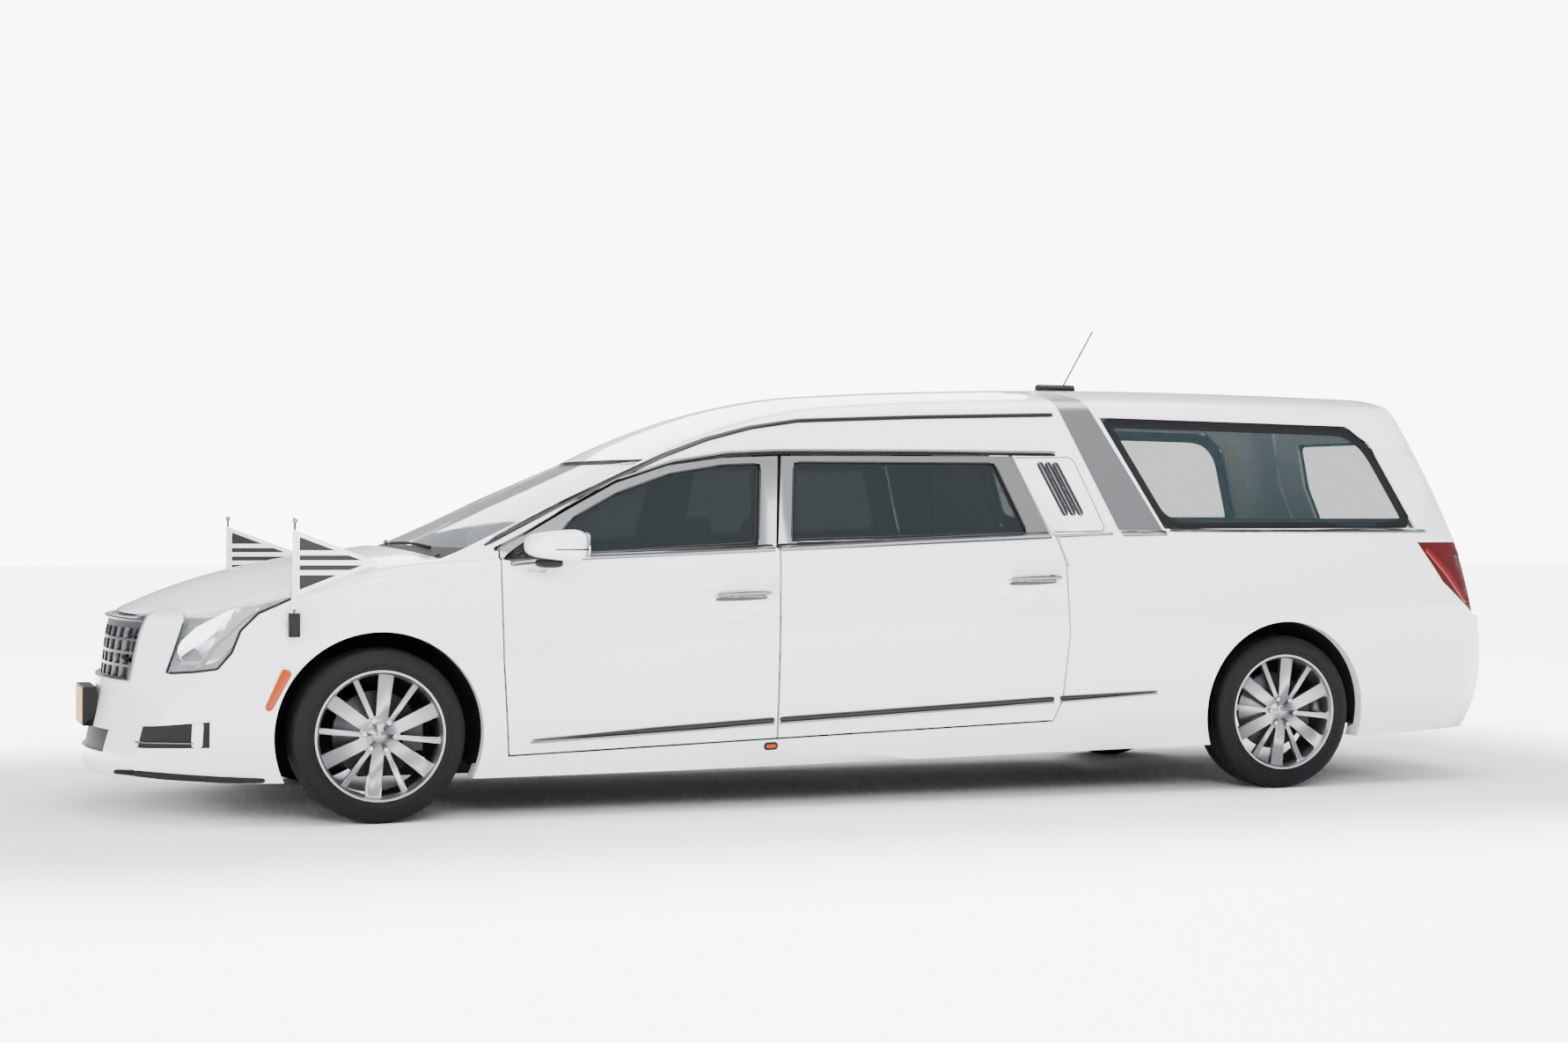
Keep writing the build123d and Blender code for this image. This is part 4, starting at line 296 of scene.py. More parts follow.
# Plain parts that keep their CAD shape: only their finish is set here.
black_plastic = principled("moulded_black", (0.0035, 0.0035, 0.004), 0.5, Specular_IOR_Level=0.2)
dark_gloss = principled("dark_gloss", (0.10, 0.10, 0.105), 0.22, metallic=1.0)
underseal = principled("underseal", (0.005, 0.005, 0.0055), 0.7, Specular_IOR_Level=0.2)
cast_iron = principled("cast_iron", (0.05, 0.05, 0.052), 0.6, metallic=0.6)
exhaust_steel = principled("exhaust_steel", (0.12, 0.115, 0.11), 0.4, metallic=1.0)
alloy = principled("silver_alloy", (0.26, 0.265, 0.27), 0.28, metallic=0.95, coat=0.3)
tyre_rubber = principled("tyre_rubber", (0.0045, 0.0045, 0.005), 0.6, Specular_IOR_Level=0.14)
chrome = principled("chrome", (0.20, 0.203, 0.206), 0.08, metallic=1.0)
# Dark grey for trim, also used for the bands of painted shade under the door handles.
trim_grey = principled("trim_grey", (0.05, 0.05, 0.052), 0.6)
seat_fabric = principled("seat_fabric", (0.36, 0.36, 0.34), 0.8)
deck_wood = principled("deck_wood", (0.035, 0.030, 0.028), 0.35, coat=0.4)
lining_fabric = principled("lining_fabric", (0.55, 0.47, 0.34), 0.9)
clear_lens = principled("clear_lens", (0.60, 0.63, 0.65), 0.02, coat=1.0)
clear_lens.node_tree.nodes["Principled BSDF"].inputs["Alpha"].default_value = 0.22
red_lens = principled("red_lens", (0.055, 0.0004, 0.001), 0.1, coat=0.2, Specular_IOR_Level=0.3)
amber_lens = principled("amber_lens", (0.30, 0.038, 0.0003), 0.2, Specular_IOR_Level=0.25)
plate_yellow = principled("plate_yellow", (0.36, 0.15, 0.0005), 0.45, Specular_IOR_Level=0.2)
KEPT = {
    "cowl": (black_plastic, "black_plastic"), "grille": (dark_gloss, "dark_grille"),
    "lower_grille": (black_plastic, "dark_grille"), "headlamps": (clear_lens, "clear_lens"),
    "tail_lamps": (red_lens, "red_lens"), "marker_lamps": (white_paint, "white_paint"),
    "tail_hinges": (cast_iron, "cast_parts"),
    "knuckle_left": (cast_iron, "cast_parts"), "knuckle_right": (cast_iron, "cast_parts"),
    "front_subframe": (underseal, "underbody_black"), "engine_block": (cast_iron, "cast_parts"),
    "rear_axle": (cast_iron, "cast_parts"), "wheel_liners": (black_plastic, "black_plastic"),
    "floor_pan": (underseal, "underbody_black"), "exhaust": (exhaust_steel, "exhaust_steel"),
    "dashboard": (trim_grey, "trim_grey"),
    "partition": (trim_grey, "trim_grey"), "casket_deck": (deck_wood, "deck_wood"),
    "bay_lining": (lining_fabric, "lining_fabric"), "wipers": (black_plastic, "black_plastic"),
    "flag_poles": (chrome, "pole_chrome"), "antenna": (black_plastic, "black_plastic"),
    "cabin_frame": (trim_grey, "underbody_black"),
}
for kept_node, (finish, slot_name) in KEPT.items():
    joined_copy(kept_node, kept_node + "_dressed", finish)
# The flag poles' sockets are black, from their foot up to the collar.
SOCKET_TOP = 0.836
poles = bpy.data.objects["flag_poles_dressed"].data
poles.materials.append(black_plastic)
for polygon in poles.polygons:
    if max(poles.vertices[index].co.z for index in polygon.vertices) < SOCKET_TOP:
        polygon.material_index = 1
for corner in ("front_left", "front_right", "rear_left", "rear_right"):
    joined_copy("wheel_" + corner, "wheel_alloy_" + corner, alloy)


# Tyres: black rubber with four grooves round the tread and a smooth sidewall with a rim guard.
# Each is one turned profile.
TYRE_STEPS = 180
# distance out from the tyre's middle, radius: outer half from the tread's centre to the bead
TYRE_HALF_PROFILE = (
    (0.000, 0.3460), (0.014, 0.3460), (0.015, 0.3390), (0.023, 0.3390), (0.024, 0.3458), (0.047, 0.3455),
    (0.048, 0.3385), (0.056, 0.3385), (0.057, 0.3450), (0.078, 0.3440), (0.092, 0.3400), (0.101, 0.3330),
    (0.108, 0.3220), (0.1115, 0.3080), (0.1126, 0.2940), (0.1115, 0.2860), (0.1128, 0.2845), (0.1128, 0.2800),
    (0.1105, 0.2780), (0.107, 0.2680), (0.103, 0.2610), (0.098, 0.2597))


def turned(name, profile, steps, centre, turn=0.0):
    """Surface of revolution about the Y direction: each profile point (out, radius) is swept round in equal
    steps, its place being centre + (radius cos a, out, radius sin a). The profile is a closed loop."""
    profile = np.array(profile)
    angle = np.arange(steps) * 2 * math.pi / steps + turn
    out, radius = profile[:, 0][None, :], profile[:, 1][None, :]
    points = np.stack([radius * np.cos(angle)[:, None], out + 0 * angle[:, None],
                       radius * np.sin(angle)[:, None]], -1)
    count = profile.shape[0]
    ring, along = np.meshgrid(np.arange(steps), np.arange(count), indexing="ij")
    here = ring * count + along
    beside = ring * count + (along + 1) % count
    ahead_here = (ring + 1) % steps * count + along
    ahead_beside = (ring + 1) % steps * count + (along + 1) % count
    faces = np.stack([here, beside, ahead_beside, ahead_here], -1).reshape(-1, 4)
    return grid_piece(name, points.reshape(-1, 3) + np.array(centre), faces)


def grid_piece(name, points, faces):
    """Object from arrays of points and faces, smooth shaded, with its normals turned outwards."""
    mesh = bpy.data.meshes.new(name)
    mesh.from_pydata(points.tolist(), [], faces.tolist())
    mesh.validate()
    shell = bmesh.new()
    shell.from_mesh(mesh)
    bmesh.ops.recalc_face_normals(shell, faces=shell.faces)
    shell.to_mesh(mesh)
    shell.free()
    mesh.shade_smooth()
    mesh.set_sharp_from_angle(angle=CREASE_ANGLE)
    piece = bpy.data.objects.new(name, mesh)
    bpy.context.scene.collection.objects.link(piece)
    return piece


def finish_piece(piece, material, body):
    """Gives a piece its material and its body."""
    piece.data.materials.clear()
    piece.data.materials.append(material)
    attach(piece, body)
    return piece


tyre_outer = [(out, radius) for out, radius in TYRE_HALF_PROFILE]
tyre_inner = [(-out, radius) for out, radius in reversed(TYRE_HALF_PROFILE[1:])]
CORNERS = (("front_left", 0.0, -1), ("front_right", 0.0, 1),
           ("rear_left", WHEELBASE, -1), ("rear_right", WHEELBASE, 1))
for corner, along_car, side in CORNERS:
    tyre = turned("tyre_" + corner + "_rubber", tyre_outer + tyre_inner, TYRE_STEPS,
                  (FRONT_AXLE + along_car, side * WHEEL_Y, AXLE_Z))
    finish_piece(tyre, tyre_rubber, "wheel_" + corner)
    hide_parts("tyre_" + corner)


# Wheel nuts: six plated nuts on a ring on the outer face.
NUT_RING = 0.062
NUT_RADIUS = 0.0125
NUT_LENGTH = 0.012
NUT_COUNT = 6
NUT_SIDES = 6
FIRST_NUT_DEGREES = -54
WHEEL_FACE = 0.084
nut_profile = ((0.0, 0.0), (NUT_LENGTH, 0.0), (NUT_LENGTH, 0.75 * NUT_RADIUS), (0.8 * NUT_LENGTH, NUT_RADIUS),
               (0.0, NUT_RADIUS))
for corner, along_car, side in CORNERS:
    for number in range(NUT_COUNT):
        angle = math.radians(FIRST_NUT_DEGREES * side + 360 / NUT_COUNT * number)
        place = (FRONT_AXLE + along_car + NUT_RING * math.cos(angle), side * (WHEEL_Y + WHEEL_FACE),
                 AXLE_Z + NUT_RING * math.sin(angle))
        sided_profile = [(side * out, radius) for out, radius in nut_profile]
        nut = turned("nut_" + corner + str(number), sided_profile, NUT_SIDES, place)
        finish_piece(nut, chrome, "wheel_" + corner)


# Trim strips on the body: pressed bars that follow the skin, crowned across and rounded off at
# both ends. The right side is the mirror image of the left.
STRIP_START_Y = -1.30
STRIP_REACH = 0.75
SHUT_LINE_DEPTH = 0.03
STRIP_LIFT = 0.0006
surfaces = {}


def surface_of(node):
    """Search tree over the faces of a CAD node, made once."""
    if node not in surfaces:
        mesh = frame["nodes"][node].data
        surfaces[node] = BVHTree.FromPolygons([vertex.co for vertex in mesh.vertices],
                                              [polygon.vertices for polygon in mesh.polygons])
    return surfaces[node]


def fill_missed(grid):
    """Fills the places of a grid that no ray met, from those beside them across and then along."""
    for turned_grid in (grid.T, grid):
        for row in turned_grid:
            good = ~np.isnan(row)
            if good.sum() > 1:
                row[~good] = np.interp(np.arange(len(row))[~good], np.arange(len(row))[good], row[good])


def outermost(x, z, panels):
    """Y of the first panel surface met from the car's left at each (x, z). Missed places take their
    neighbour's."""
    y = np.full(x.shape, np.nan)
    for place in np.ndindex(x.shape):
        start = Vector((x[place], STRIP_START_Y, z[place]))
        hits = [surface_of(panel).ray_cast(start, Vector((0, 1, 0)), STRIP_REACH)[0] for panel in panels]
        reached = [hit.y for hit in hits if hit is not None]
        if reached:
            y[place] = min(reached)
    # A place much deeper than its row is a shut line that was looked through.
    rows = np.arange(x.shape[0])
    nearest = np.nanmin(np.where(np.isnan(y), 0.0, y), axis=1)
    usual = np.array([np.median(nearest[max(0, row - 3):row + 4]) for row in rows])
    y = np.where(y > usual[:, None] + SHUT_LINE_DEPTH, np.nan, y)
    for column in range(x.shape[1]):
        good = ~np.isnan(y[:, column])
        if good.any():
            y[:, column] = np.interp(rows, rows[good], y[good, column])
    good_columns = [column for column in range(x.shape[1]) if not np.isnan(y[:, column]).any()]
    for column in range(x.shape[1]):
        if column not in good_columns:
            y[:, column] = y[:, min(good_columns, key=lambda other: abs(other - column))]
    return y


def laid_band(name, line, widths, panels, thickness, rows=6, pitch=0.02, offset=0.0, closed=False,
              sink=0.0004):
    """Bar along a side view line of (x behind the front axle, z). Across it the height over the skin is
    thickness * sqrt(1 - |s|^3) for s from -1 to 1, and both ends are rounded over half a width, unless it
    is closed."""
    line = np.array(line, float)
    widths = np.broadcast_to(np.array(widths, float), (len(line),))
    run = np.concatenate([[0], np.cumsum(np.hypot(*np.diff(line, axis=0).T))])
    count = max(6, int(run[-1] / pitch))
    along = np.linspace(0, run[-1], count + 1)
    if not closed:
        tip = widths.mean() / 2
        steps = np.array([0, 0.15, 0.5]) * tip
        along = np.unique(np.concatenate([steps, along, run[-1] - steps]))
    middle = np.stack([np.interp(along, run, line[:, 0]), np.interp(along, run, line[:, 1])], -1)
    width = np.interp(along, run, widths)
    heading = np.gradient(middle, along, axis=0)
    heading /= np.linalg.norm(heading, axis=1)[:, None]
    across = np.stack([-heading[:, 1], heading[:, 0]], -1)
    ease = np.ones(len(along))
    if not closed:
        near_end = np.clip(np.minimum(along, run[-1] - along) / tip, 0, 1)
        ease = np.sqrt(1 - (1 - near_end) ** 2) * 0.9 + 0.1
    spread = np.linspace(-1, 1, rows + 1)
    flat = middle[:, None, :] + across[:, None, :] * (
        offset + (width * ease)[:, None, None] / 2 * spread[None, :, None])
    x, z = flat[..., 0] + FRONT_AXLE, flat[..., 1]
    skin_y = outermost(x, z, panels)
    height = thickness * np.sqrt(1 - np.abs(spread) ** 3)[None, :] * ease[:, None]
    outer = np.stack([x, skin_y - STRIP_LIFT - height, z], -1)
    inner = np.stack([x, skin_y + sink, z], -1)
    return shell_piece(name, outer, inner)


def shell_piece(name, outer, inner):
    """Closed thin solid between two grids of points of one shape, joined round their four edges."""
    length, breadth = outer.shape[:2]
    i, j = np.meshgrid(np.arange(length - 1), np.arange(breadth - 1), indexing="ij")
    first = (i * breadth + j).reshape(-1)
    top = np.stack([first, first + 1, first + breadth + 1, first + breadth], -1)
    total = length * breadth
    ring = np.concatenate([np.arange(breadth), np.arange(1, length) * breadth + breadth - 1,
                           (length - 1) * breadth + np.arange(breadth - 2, -1, -1),
                           np.arange(length - 2, 0, -1) * breadth])
    following = np.roll(ring, -1)
    edge = np.stack([ring, following, following + total, ring + total], -1)
    points = np.concatenate([outer.reshape(-1, 3), inner.reshape(-1, 3)])
    return grid_piece(name, points, np.concatenate([top, top[:, ::-1] + total, edge]))


def mirrored(piece, name):
    """The same piece on the car's right side."""
    mesh = piece.data.copy()
    turned_over = bmesh.new()
    turned_over.from_mesh(mesh)
    bmesh.ops.scale(turned_over, vec=(1, -1, 1), verts=turned_over.verts)
    bmesh.ops.reverse_faces(turned_over, faces=turned_over.faces)
    turned_over.to_mesh(mesh)
    turned_over.free()
    other = bpy.data.objects.new(name, mesh)
    bpy.context.scene.collection.objects.link(other)
    return other


def both_sides(piece, name, material, body):
    """Finishes a left side piece named with _left and adds its mirror image on the right."""
    twin = mirrored(piece, name + "_right")
    finish_piece(piece, material, body)
    finish_piece(twin, material, body.replace("left", "right"))


chrome_satin = principled("satin_chrome", (0.13, 0.132, 0.135), 0.16, metallic=1.0)
# Near-black finish for dark trim and slots, also used for the bands of painted shade above the belt chrome
# and below the drip rail.
dark_trim_and_shade = principled("dark_trim_and_shade", (0.006, 0.006, 0.007), 0.3, Specular_IOR_Level=0.3)
DOORS = ("front_door_left", "rear_door_left")
SHELL = ("body_sides", "roof", "roof_band")
# name, line, width, thickness, panels, body on the left, material
STRIPS = (
    # The two belt_shadow bands are painted shade: dark bands laid just above the belt chrome.
    ("belt_shadow_front", ((0.520, 1.036), (0.700, 1.057), (1.655, 1.097)), 0.012, 0.003, DOORS[:1], DOORS[0],
     dark_trim_and_shade),
    ("belt_shadow_rear", ((1.672, 1.098), (2.940, 1.153)), 0.012, 0.003, DOORS[1:], DOORS[1], dark_trim_and_shade),
    ("belt_front", ((0.520, 1.022), (0.700, 1.043), (1.655, 1.083)), 0.022, 0.007, DOORS[:1], DOORS[0],
     chrome_satin),
    ("belt_rear", ((1.672, 1.084), (2.940, 1.139)), 0.022, 0.007, DOORS[1:], DOORS[1], chrome_satin),
    ("belt_quarter", ((2.962, 1.140), (3.245, 1.152)), 0.014, 0.006, SHELL, "chassis", chrome_satin),
    ("belt_plaque", ((3.285, 1.150), (3.515, 1.154)), 0.026, 0.004, SHELL, "chassis", chrome_satin),
    ("belt_bay", ((3.545, 1.166), (4.930, 1.168)), 0.016, 0.006, SHELL, "chassis", chrome_satin),
    ("side_front", ((0.607, 0.316), (1.120, 0.344), (1.645, 0.372)), (0.006, 0.024, 0.024), 0.010, DOORS[:1],
     DOORS[0], dark_trim_and_shade),
    ("side_rear", ((1.668, 0.373), (2.945, 0.432)), 0.024, 0.010, DOORS[1:], DOORS[1], dark_trim_and_shade),
    ("side_quarter", ((2.972, 0.434), (3.452, 0.455)), (0.022, 0.008), 0.010, SHELL, "chassis", dark_trim_and_shade),
    ("side_front_bright", ((0.600, 0.306), (1.120, 0.329), (1.645, 0.357)), 0.010, 0.013, DOORS[:1], DOORS[0],
     chrome_satin),
    ("side_rear_bright", ((1.668, 0.358), (2.945, 0.417)), 0.010, 0.013, DOORS[1:], DOORS[1], chrome_satin),
    ("side_quarter_bright", ((2.972, 0.419), (3.452, 0.446)), 0.009, 0.013, SHELL, "chassis", chrome_satin),
    ("drip_rail", ((0.60, 1.135), (0.80, 1.262), (1.00, 1.366), (1.25, 1.447), (1.50, 1.487),
                   (1.72, 1.499), (2.40, 1.507), (3.04, 1.509)),
     0.012, 0.010, SHELL + ("cabin_frame",), "chassis", chrome_satin),
    # The drip_shadow band is painted shade: a dark band laid just below the drip rail.
    ("drip_shadow", ((0.60, 1.124), (0.80, 1.250), (1.00, 1.354), (1.25, 1.435), (1.50, 1.475),
                     (1.72, 1.487), (2.40, 1.495), (3.04, 1.497)),
     0.012, 0.004, SHELL + ("cabin_frame",), "chassis", dark_trim_and_shade),
    ("roof_line", ((0.36, 1.062), (0.55, 1.160), (0.779, 1.273), (1.03, 1.386), (1.22, 1.470),
                   (1.415, 1.542), (1.613, 1.594), (1.833, 1.628), (2.40, 1.655), (3.06, 1.678)),
     0.020, 0.006, SHELL, "chassis", dark_trim_and_shade),
)
for name, line, width, thickness, panels, body, finish in STRIPS:
    strip = laid_band("strip_" + name + "_left", line, width, panels, thickness)
    both_sides(strip, "strip_" + name, finish, body)


# Louvres on the rear quarter ahead of the band: three bright rods with round ends, each in its
# own slot, inside a fine edge line.
LOUVRES = (
    ((2.953, 1.466), (3.046, 1.228)), ((2.990, 1.466), (3.083, 1.229)), ((3.027, 1.466), (3.120, 1.230)),
)
PANEL_EDGE = ((2.835, 1.482), (3.106, 1.487), (3.127, 1.470), (3.222, 1.180), (3.214, 1.163), (2.975, 1.156))
for number, line in enumerate(LOUVRES):
    for part, width, thickness, finish, slot_name in (("slot", 0.034, 0.003, dark_trim_and_shade, "dark_grille"),
                                                      ("rod", 0.018, 0.009, chrome_satin, "satin_trim")):
        rod = laid_band("louvre_" + part + str(number) + "_left", line, width, ("body_sides",), thickness)
        both_sides(rod, "louvre_" + part + str(number), finish, "chassis")
edge = laid_band("louvre_edge_left", PANEL_EDGE, 0.005, ("body_sides",), 0.001, rows=2, pitch=0.015)
both_sides(edge, "louvre_edge", trim_grey, "chassis")


# Window surrounds: black rubber round each door window, and the broad black border printed on
# the glass of the casket bay.
FRONT_WINDOW = ((0.1602, 0.5758), (0.1942, 0.6621), (0.2427, 0.7198), (0.2995, 0.7648), (0.3568, 0.7868),
                (0.3981, 0.7912), (0.3859, 0.6044), (0.1602, 0.5758))
REAR_WINDOW = ((0.4228, 0.6110), (0.4350, 0.7956), (0.6638, 0.8000), (0.6905, 0.6291), (0.4228, 0.6110))
QUARTER_WINDOW = ((0.7980, 0.9181), (1.1165, 0.9093), (1.1454, 0.8632), (1.1864, 0.6484), (0.8546, 0.6440),
                  (0.7980, 0.9181))
ROOF_HEIGHT = 1.820
CORNER_STEPS = 6


def softened(outline, radius):
    """Closed outline with each corner replaced by a quadratic curve that starts and ends radius away
    from it."""
    corners = np.array(outline[:-1], float)
    line = []
    for number, corner in enumerate(corners):
        arms = [corners[number - 1] - corner, corners[(number + 1) % len(corners)] - corner]
        ends = [corner + arm / np.linalg.norm(arm) * min(radius, 0.45 * np.linalg.norm(arm)) for arm in arms]
        for share in np.linspace(0, 1, CORNER_STEPS + 1):
            line.append((1 - share) ** 2 * ends[0] + 2 * share * (1 - share) * corner + share ** 2 * ends[1])
    first = (line[-1] + line[0]) / 2
    return [first] + line + [first]


# name, outline, panels, body on the left, width, offset, corner radius
SEALS = (
    ("front", FRONT_WINDOW, ("front_door_left", "front_door_glass_left"), "front_door_left", 0.018, -0.004,
     0.030),
    ("rear", REAR_WINDOW, ("rear_door_left", "rear_door_glass_left"), "rear_door_left", 0.018, -0.004, 0.030),
    ("quarter", QUARTER_WINDOW, ("body_sides", "quarter_glass"), "chassis", 0.052, -0.020, 0.090),
)
for name, outline, panels, body, width, offset, corner_radius in SEALS:
    line = softened([(x * WHEELBASE, z * ROOF_HEIGHT) for x, z in outline], corner_radius)
    seal = laid_band("window_seal_" + name + "_left", line, width, panels, 0.0025, pitch=0.012, offset=offset,
                     closed=True)
    both_sides(seal, "window_seal_" + name, black_plastic, body)


# Door handles: chromed pulls with rounded ends standing off the skin, each with a grey band of painted shade
# just below it for the shallow cup.
HANDLES = (("front", 1.494, 0.898, "front_door_left"), ("rear", 2.8375, 0.957, "rear_door_left"))
for name, middle_x, middle_z, panel in HANDLES:
    line = [(middle_x - 0.118, middle_z - 0.006), (middle_x - 0.095, middle_z), (middle_x, middle_z + 0.004),
            (middle_x + 0.095, middle_z + 0.006), (middle_x + 0.118, middle_z + 0.002)]
    for part, widths, thickness, drop, finish, slot_name in (
            ("shade", (0.008, 0.020, 0.026, 0.020, 0.008), 0.002, -0.021, trim_grey, "trim_grey"),
            ("pull", (0.014, 0.024, 0.028, 0.024, 0.014), 0.030, 0.0, chrome, "pole_chrome")):
        pull = laid_band("handle_" + part + "_" + name + "_left", line, widths, (panel,), thickness,
                         offset=drop, rows=10, pitch=0.01)
        both_sides(pull, "handle_" + part + "_" + name, finish, panel)


# Pennants: cotton cloth, black with three white stripes and a white hem all round, sewn to a
# white sleeve on the pole. Each hangs open along its front edge with a light ripple.
POLE_X = FRONT_AXLE - 0.083 * WHEELBASE
POLE_Y = 0.909
FLAG_FRONT = POLE_X + 0.0053
FLAG_LENGTH = 0.330
FLAG_TOP = 1.152
FLAG_LOW = 0.899
FLAG_TIP = 1.028
FLAG_RIPPLE = 0.0014
HEM_WIDTH = 0.017
STRIPE_PITCH = 0.0385
STRIPE_HALF_WIDTH = 0.0095
SLEEVE_STEPS = 20
flag_cloth = principled("pennant_cloth", (0.03, 0.03, 0.032), 0.9)
nodes = flag_cloth.node_tree.nodes
links = flag_cloth.node_tree.links
shader = nodes["Principled BSDF"]
weave = nodes.new("ShaderNodeUVMap")
weave.uv_map = "weave"
split = nodes.new("ShaderNodeSeparateXYZ")
links.new(weave.outputs["UV"], split.inputs[0])


def cloth_step(value, low, high):
    """1 where the value is between low and high, else 0."""
    over = nodes.new("ShaderNodeMath")
    over.operation = "GREATER_THAN"
    over.inputs[1].default_value = low
    under = nodes.new("ShaderNodeMath")
    under.operation = "LESS_THAN"
    under.inputs[1].default_value = high
    both = nodes.new("ShaderNodeMath")
    both.operation = "MULTIPLY"
    links.new(value, over.inputs[0])
    links.new(value, under.inputs[0])
    links.new(over.outputs[0], both.inputs[0])
    links.new(under.outputs[0], both.inputs[1])
    return both.outputs[0]


# U is the height over the flag's middle line in metres, V the distance to the nearest hem edge.
white_parts = cloth_step(split.outputs["Y"], -1.0, HEM_WIDTH)
for stripe in (-STRIPE_PITCH, 0.0, STRIPE_PITCH):
    band = cloth_step(split.outputs["X"], stripe - STRIPE_HALF_WIDTH, stripe + STRIPE_HALF_WIDTH)
    joined = nodes.new("ShaderNodeMath")
    joined.operation = "MAXIMUM"
    links.new(white_parts, joined.inputs[0])
    links.new(band, joined.inputs[1])
    white_parts = joined.outputs[0]
cloth_mix = nodes.new("ShaderNodeMix")
cloth_mix.data_type = "RGBA"
cloth_mix.inputs["A"].default_value = (0.012, 0.012, 0.013, 1.0)
cloth_mix.inputs["B"].default_value = (0.82, 0.82, 0.81, 1.0)
links.new(white_parts, cloth_mix.inputs["Factor"])
links.new(cloth_mix.outputs["Result"], shader.inputs["Base Color"])
FLAG_COLUMNS = 40
FLAG_ROWS = 24
for side_name, side in (("left", -1), ("right", 1)):
    # A grid of (way to the tip, way up the front edge) is drawn in towards the tip.
    away, up = np.meshgrid(np.linspace(0, 0.97, FLAG_COLUMNS + 1), np.linspace(0, 1, FLAG_ROWS + 1),
                           indexing="ij")
    front_z = FLAG_LOW + (FLAG_TOP - FLAG_LOW) * up
    x = FLAG_FRONT + FLAG_LENGTH * away
    z = front_z + (FLAG_TIP - front_z) * away
    y = side * POLE_Y + FLAG_RIPPLE * np.sin(7.0 * away + 2.5 * up) * away
    points = np.stack([x, y, z], -1).reshape(-1, 3)
    i, j = np.meshgrid(np.arange(FLAG_COLUMNS), np.arange(FLAG_ROWS), indexing="ij")
    first = (i * (FLAG_ROWS + 1) + j).reshape(-1)
    faces = np.stack([first, first + 1, first + FLAG_ROWS + 2, first + FLAG_ROWS + 1], -1)
    mesh = bpy.data.meshes.new("pennant_" + side_name)
    mesh.from_pydata(points.tolist(), [], faces.tolist())
    top_edge = FLAG_TOP + (FLAG_TIP - FLAG_TOP) * away
    low_edge = FLAG_LOW + (FLAG_TIP - FLAG_LOW) * away
    hem = np.minimum(np.minimum(top_edge - z, z - low_edge) * 0.92, FLAG_LENGTH * away + 0.004)
    middle = z - FLAG_TIP
    weave_map = mesh.uv_layers.new(name="weave")
    loops = np.zeros(len(mesh.loops), dtype=np.int32)
    mesh.loops.foreach_get("vertex_index", loops)
    weave_places = np.stack([middle.reshape(-1)[loops], hem.reshape(-1)[loops]], -1)
    weave_map.data.foreach_set("uv", weave_places.reshape(-1))
    mesh.shade_smooth()
    flag = bpy.data.objects.new("pennant_" + side_name, mesh)
    bpy.context.scene.collection.objects.link(flag)
    depth = flag.modifiers.new("cloth", "SOLIDIFY")
    depth.thickness = 0.0012
    depth.offset = 0.0
    finish_piece(flag, flag_cloth, "chassis")
    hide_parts("flag_" + side_name)
    # The white sleeve of the flag goes round the pole.
    sleeve_profile = ((FLAG_LOW - 0.05, 0.0052), (FLAG_LOW - 0.05, 0.0085), (FLAG_TOP + 0.004, 0.0085),
                      (FLAG_TOP + 0.004, 0.0052))
    angle = np.arange(SLEEVE_STEPS) * 2 * math.pi / SLEEVE_STEPS
    heights, radii = np.array(sleeve_profile).T
    ring_points = np.stack([POLE_X + radii[None, :] * np.cos(angle)[:, None],
                            side * POLE_Y + radii[None, :] * np.sin(angle)[:, None],
                            heights[None, :] + 0 * angle[:, None]], -1)
    ring, along = np.meshgrid(np.arange(SLEEVE_STEPS), np.arange(4), indexing="ij")
    beside = (along + 1) % 4
    following = (ring + 1) % SLEEVE_STEPS
    ring_faces = np.stack([ring * 4 + along, ring * 4 + beside, following * 4 + beside,
                           following * 4 + along], -1).reshape(-1, 4)
    sleeve = grid_piece("pole_sleeve_" + side_name, ring_points.reshape(-1, 3), ring_faces)
    finish_piece(sleeve, principled("sleeve_white", (0.78, 0.78, 0.77), 0.6), "chassis")


# Grille: a crate of satin bars in the nose with black mesh behind it. Its frame is a broad dark
# bar along the top and a bright rim down both sides and below.
GRILLE_OUTLINE = ((0.476, 0.796), (0.430, 0.553))
GRILLE_MESH_SETBACK = 0.030
END_REACH = 2.0
# where the looking starts, which way it looks, and the panels met with their distance behind the skin
NOSE = (-4.0, 1, (("front_bumper", 0.0), ("grille", 0.014)))
TAIL = (4.0, -1, (("tail_door", 0.0), ("tail_door_glass", 0.0), ("body_sides", 0.0), ("rear_bumper", 0.0)))


def end_skin(y, z, end):
    """X of the skin met from the front or the rear at each (y, z). Missed places take their neighbour's."""
    start_x, way, panels = end
    depth = np.full(y.shape, np.nan)
    for place in np.ndindex(y.shape):
        start = Vector((start_x, y[place], z[place]))
        found = []
        for node, behind in panels:
            hit = surface_of(node).ray_cast(start, Vector((way, 0, 0)), END_REACH)[0]
            if hit is not None:
                found.append(abs(hit.x - start_x) - behind)
        if found:
            depth[place] = min(found)
    depth = np.where(depth > np.nanmedian(depth) + 0.25, np.nan, depth)
    fill_missed(depth)
    return start_x + way * depth


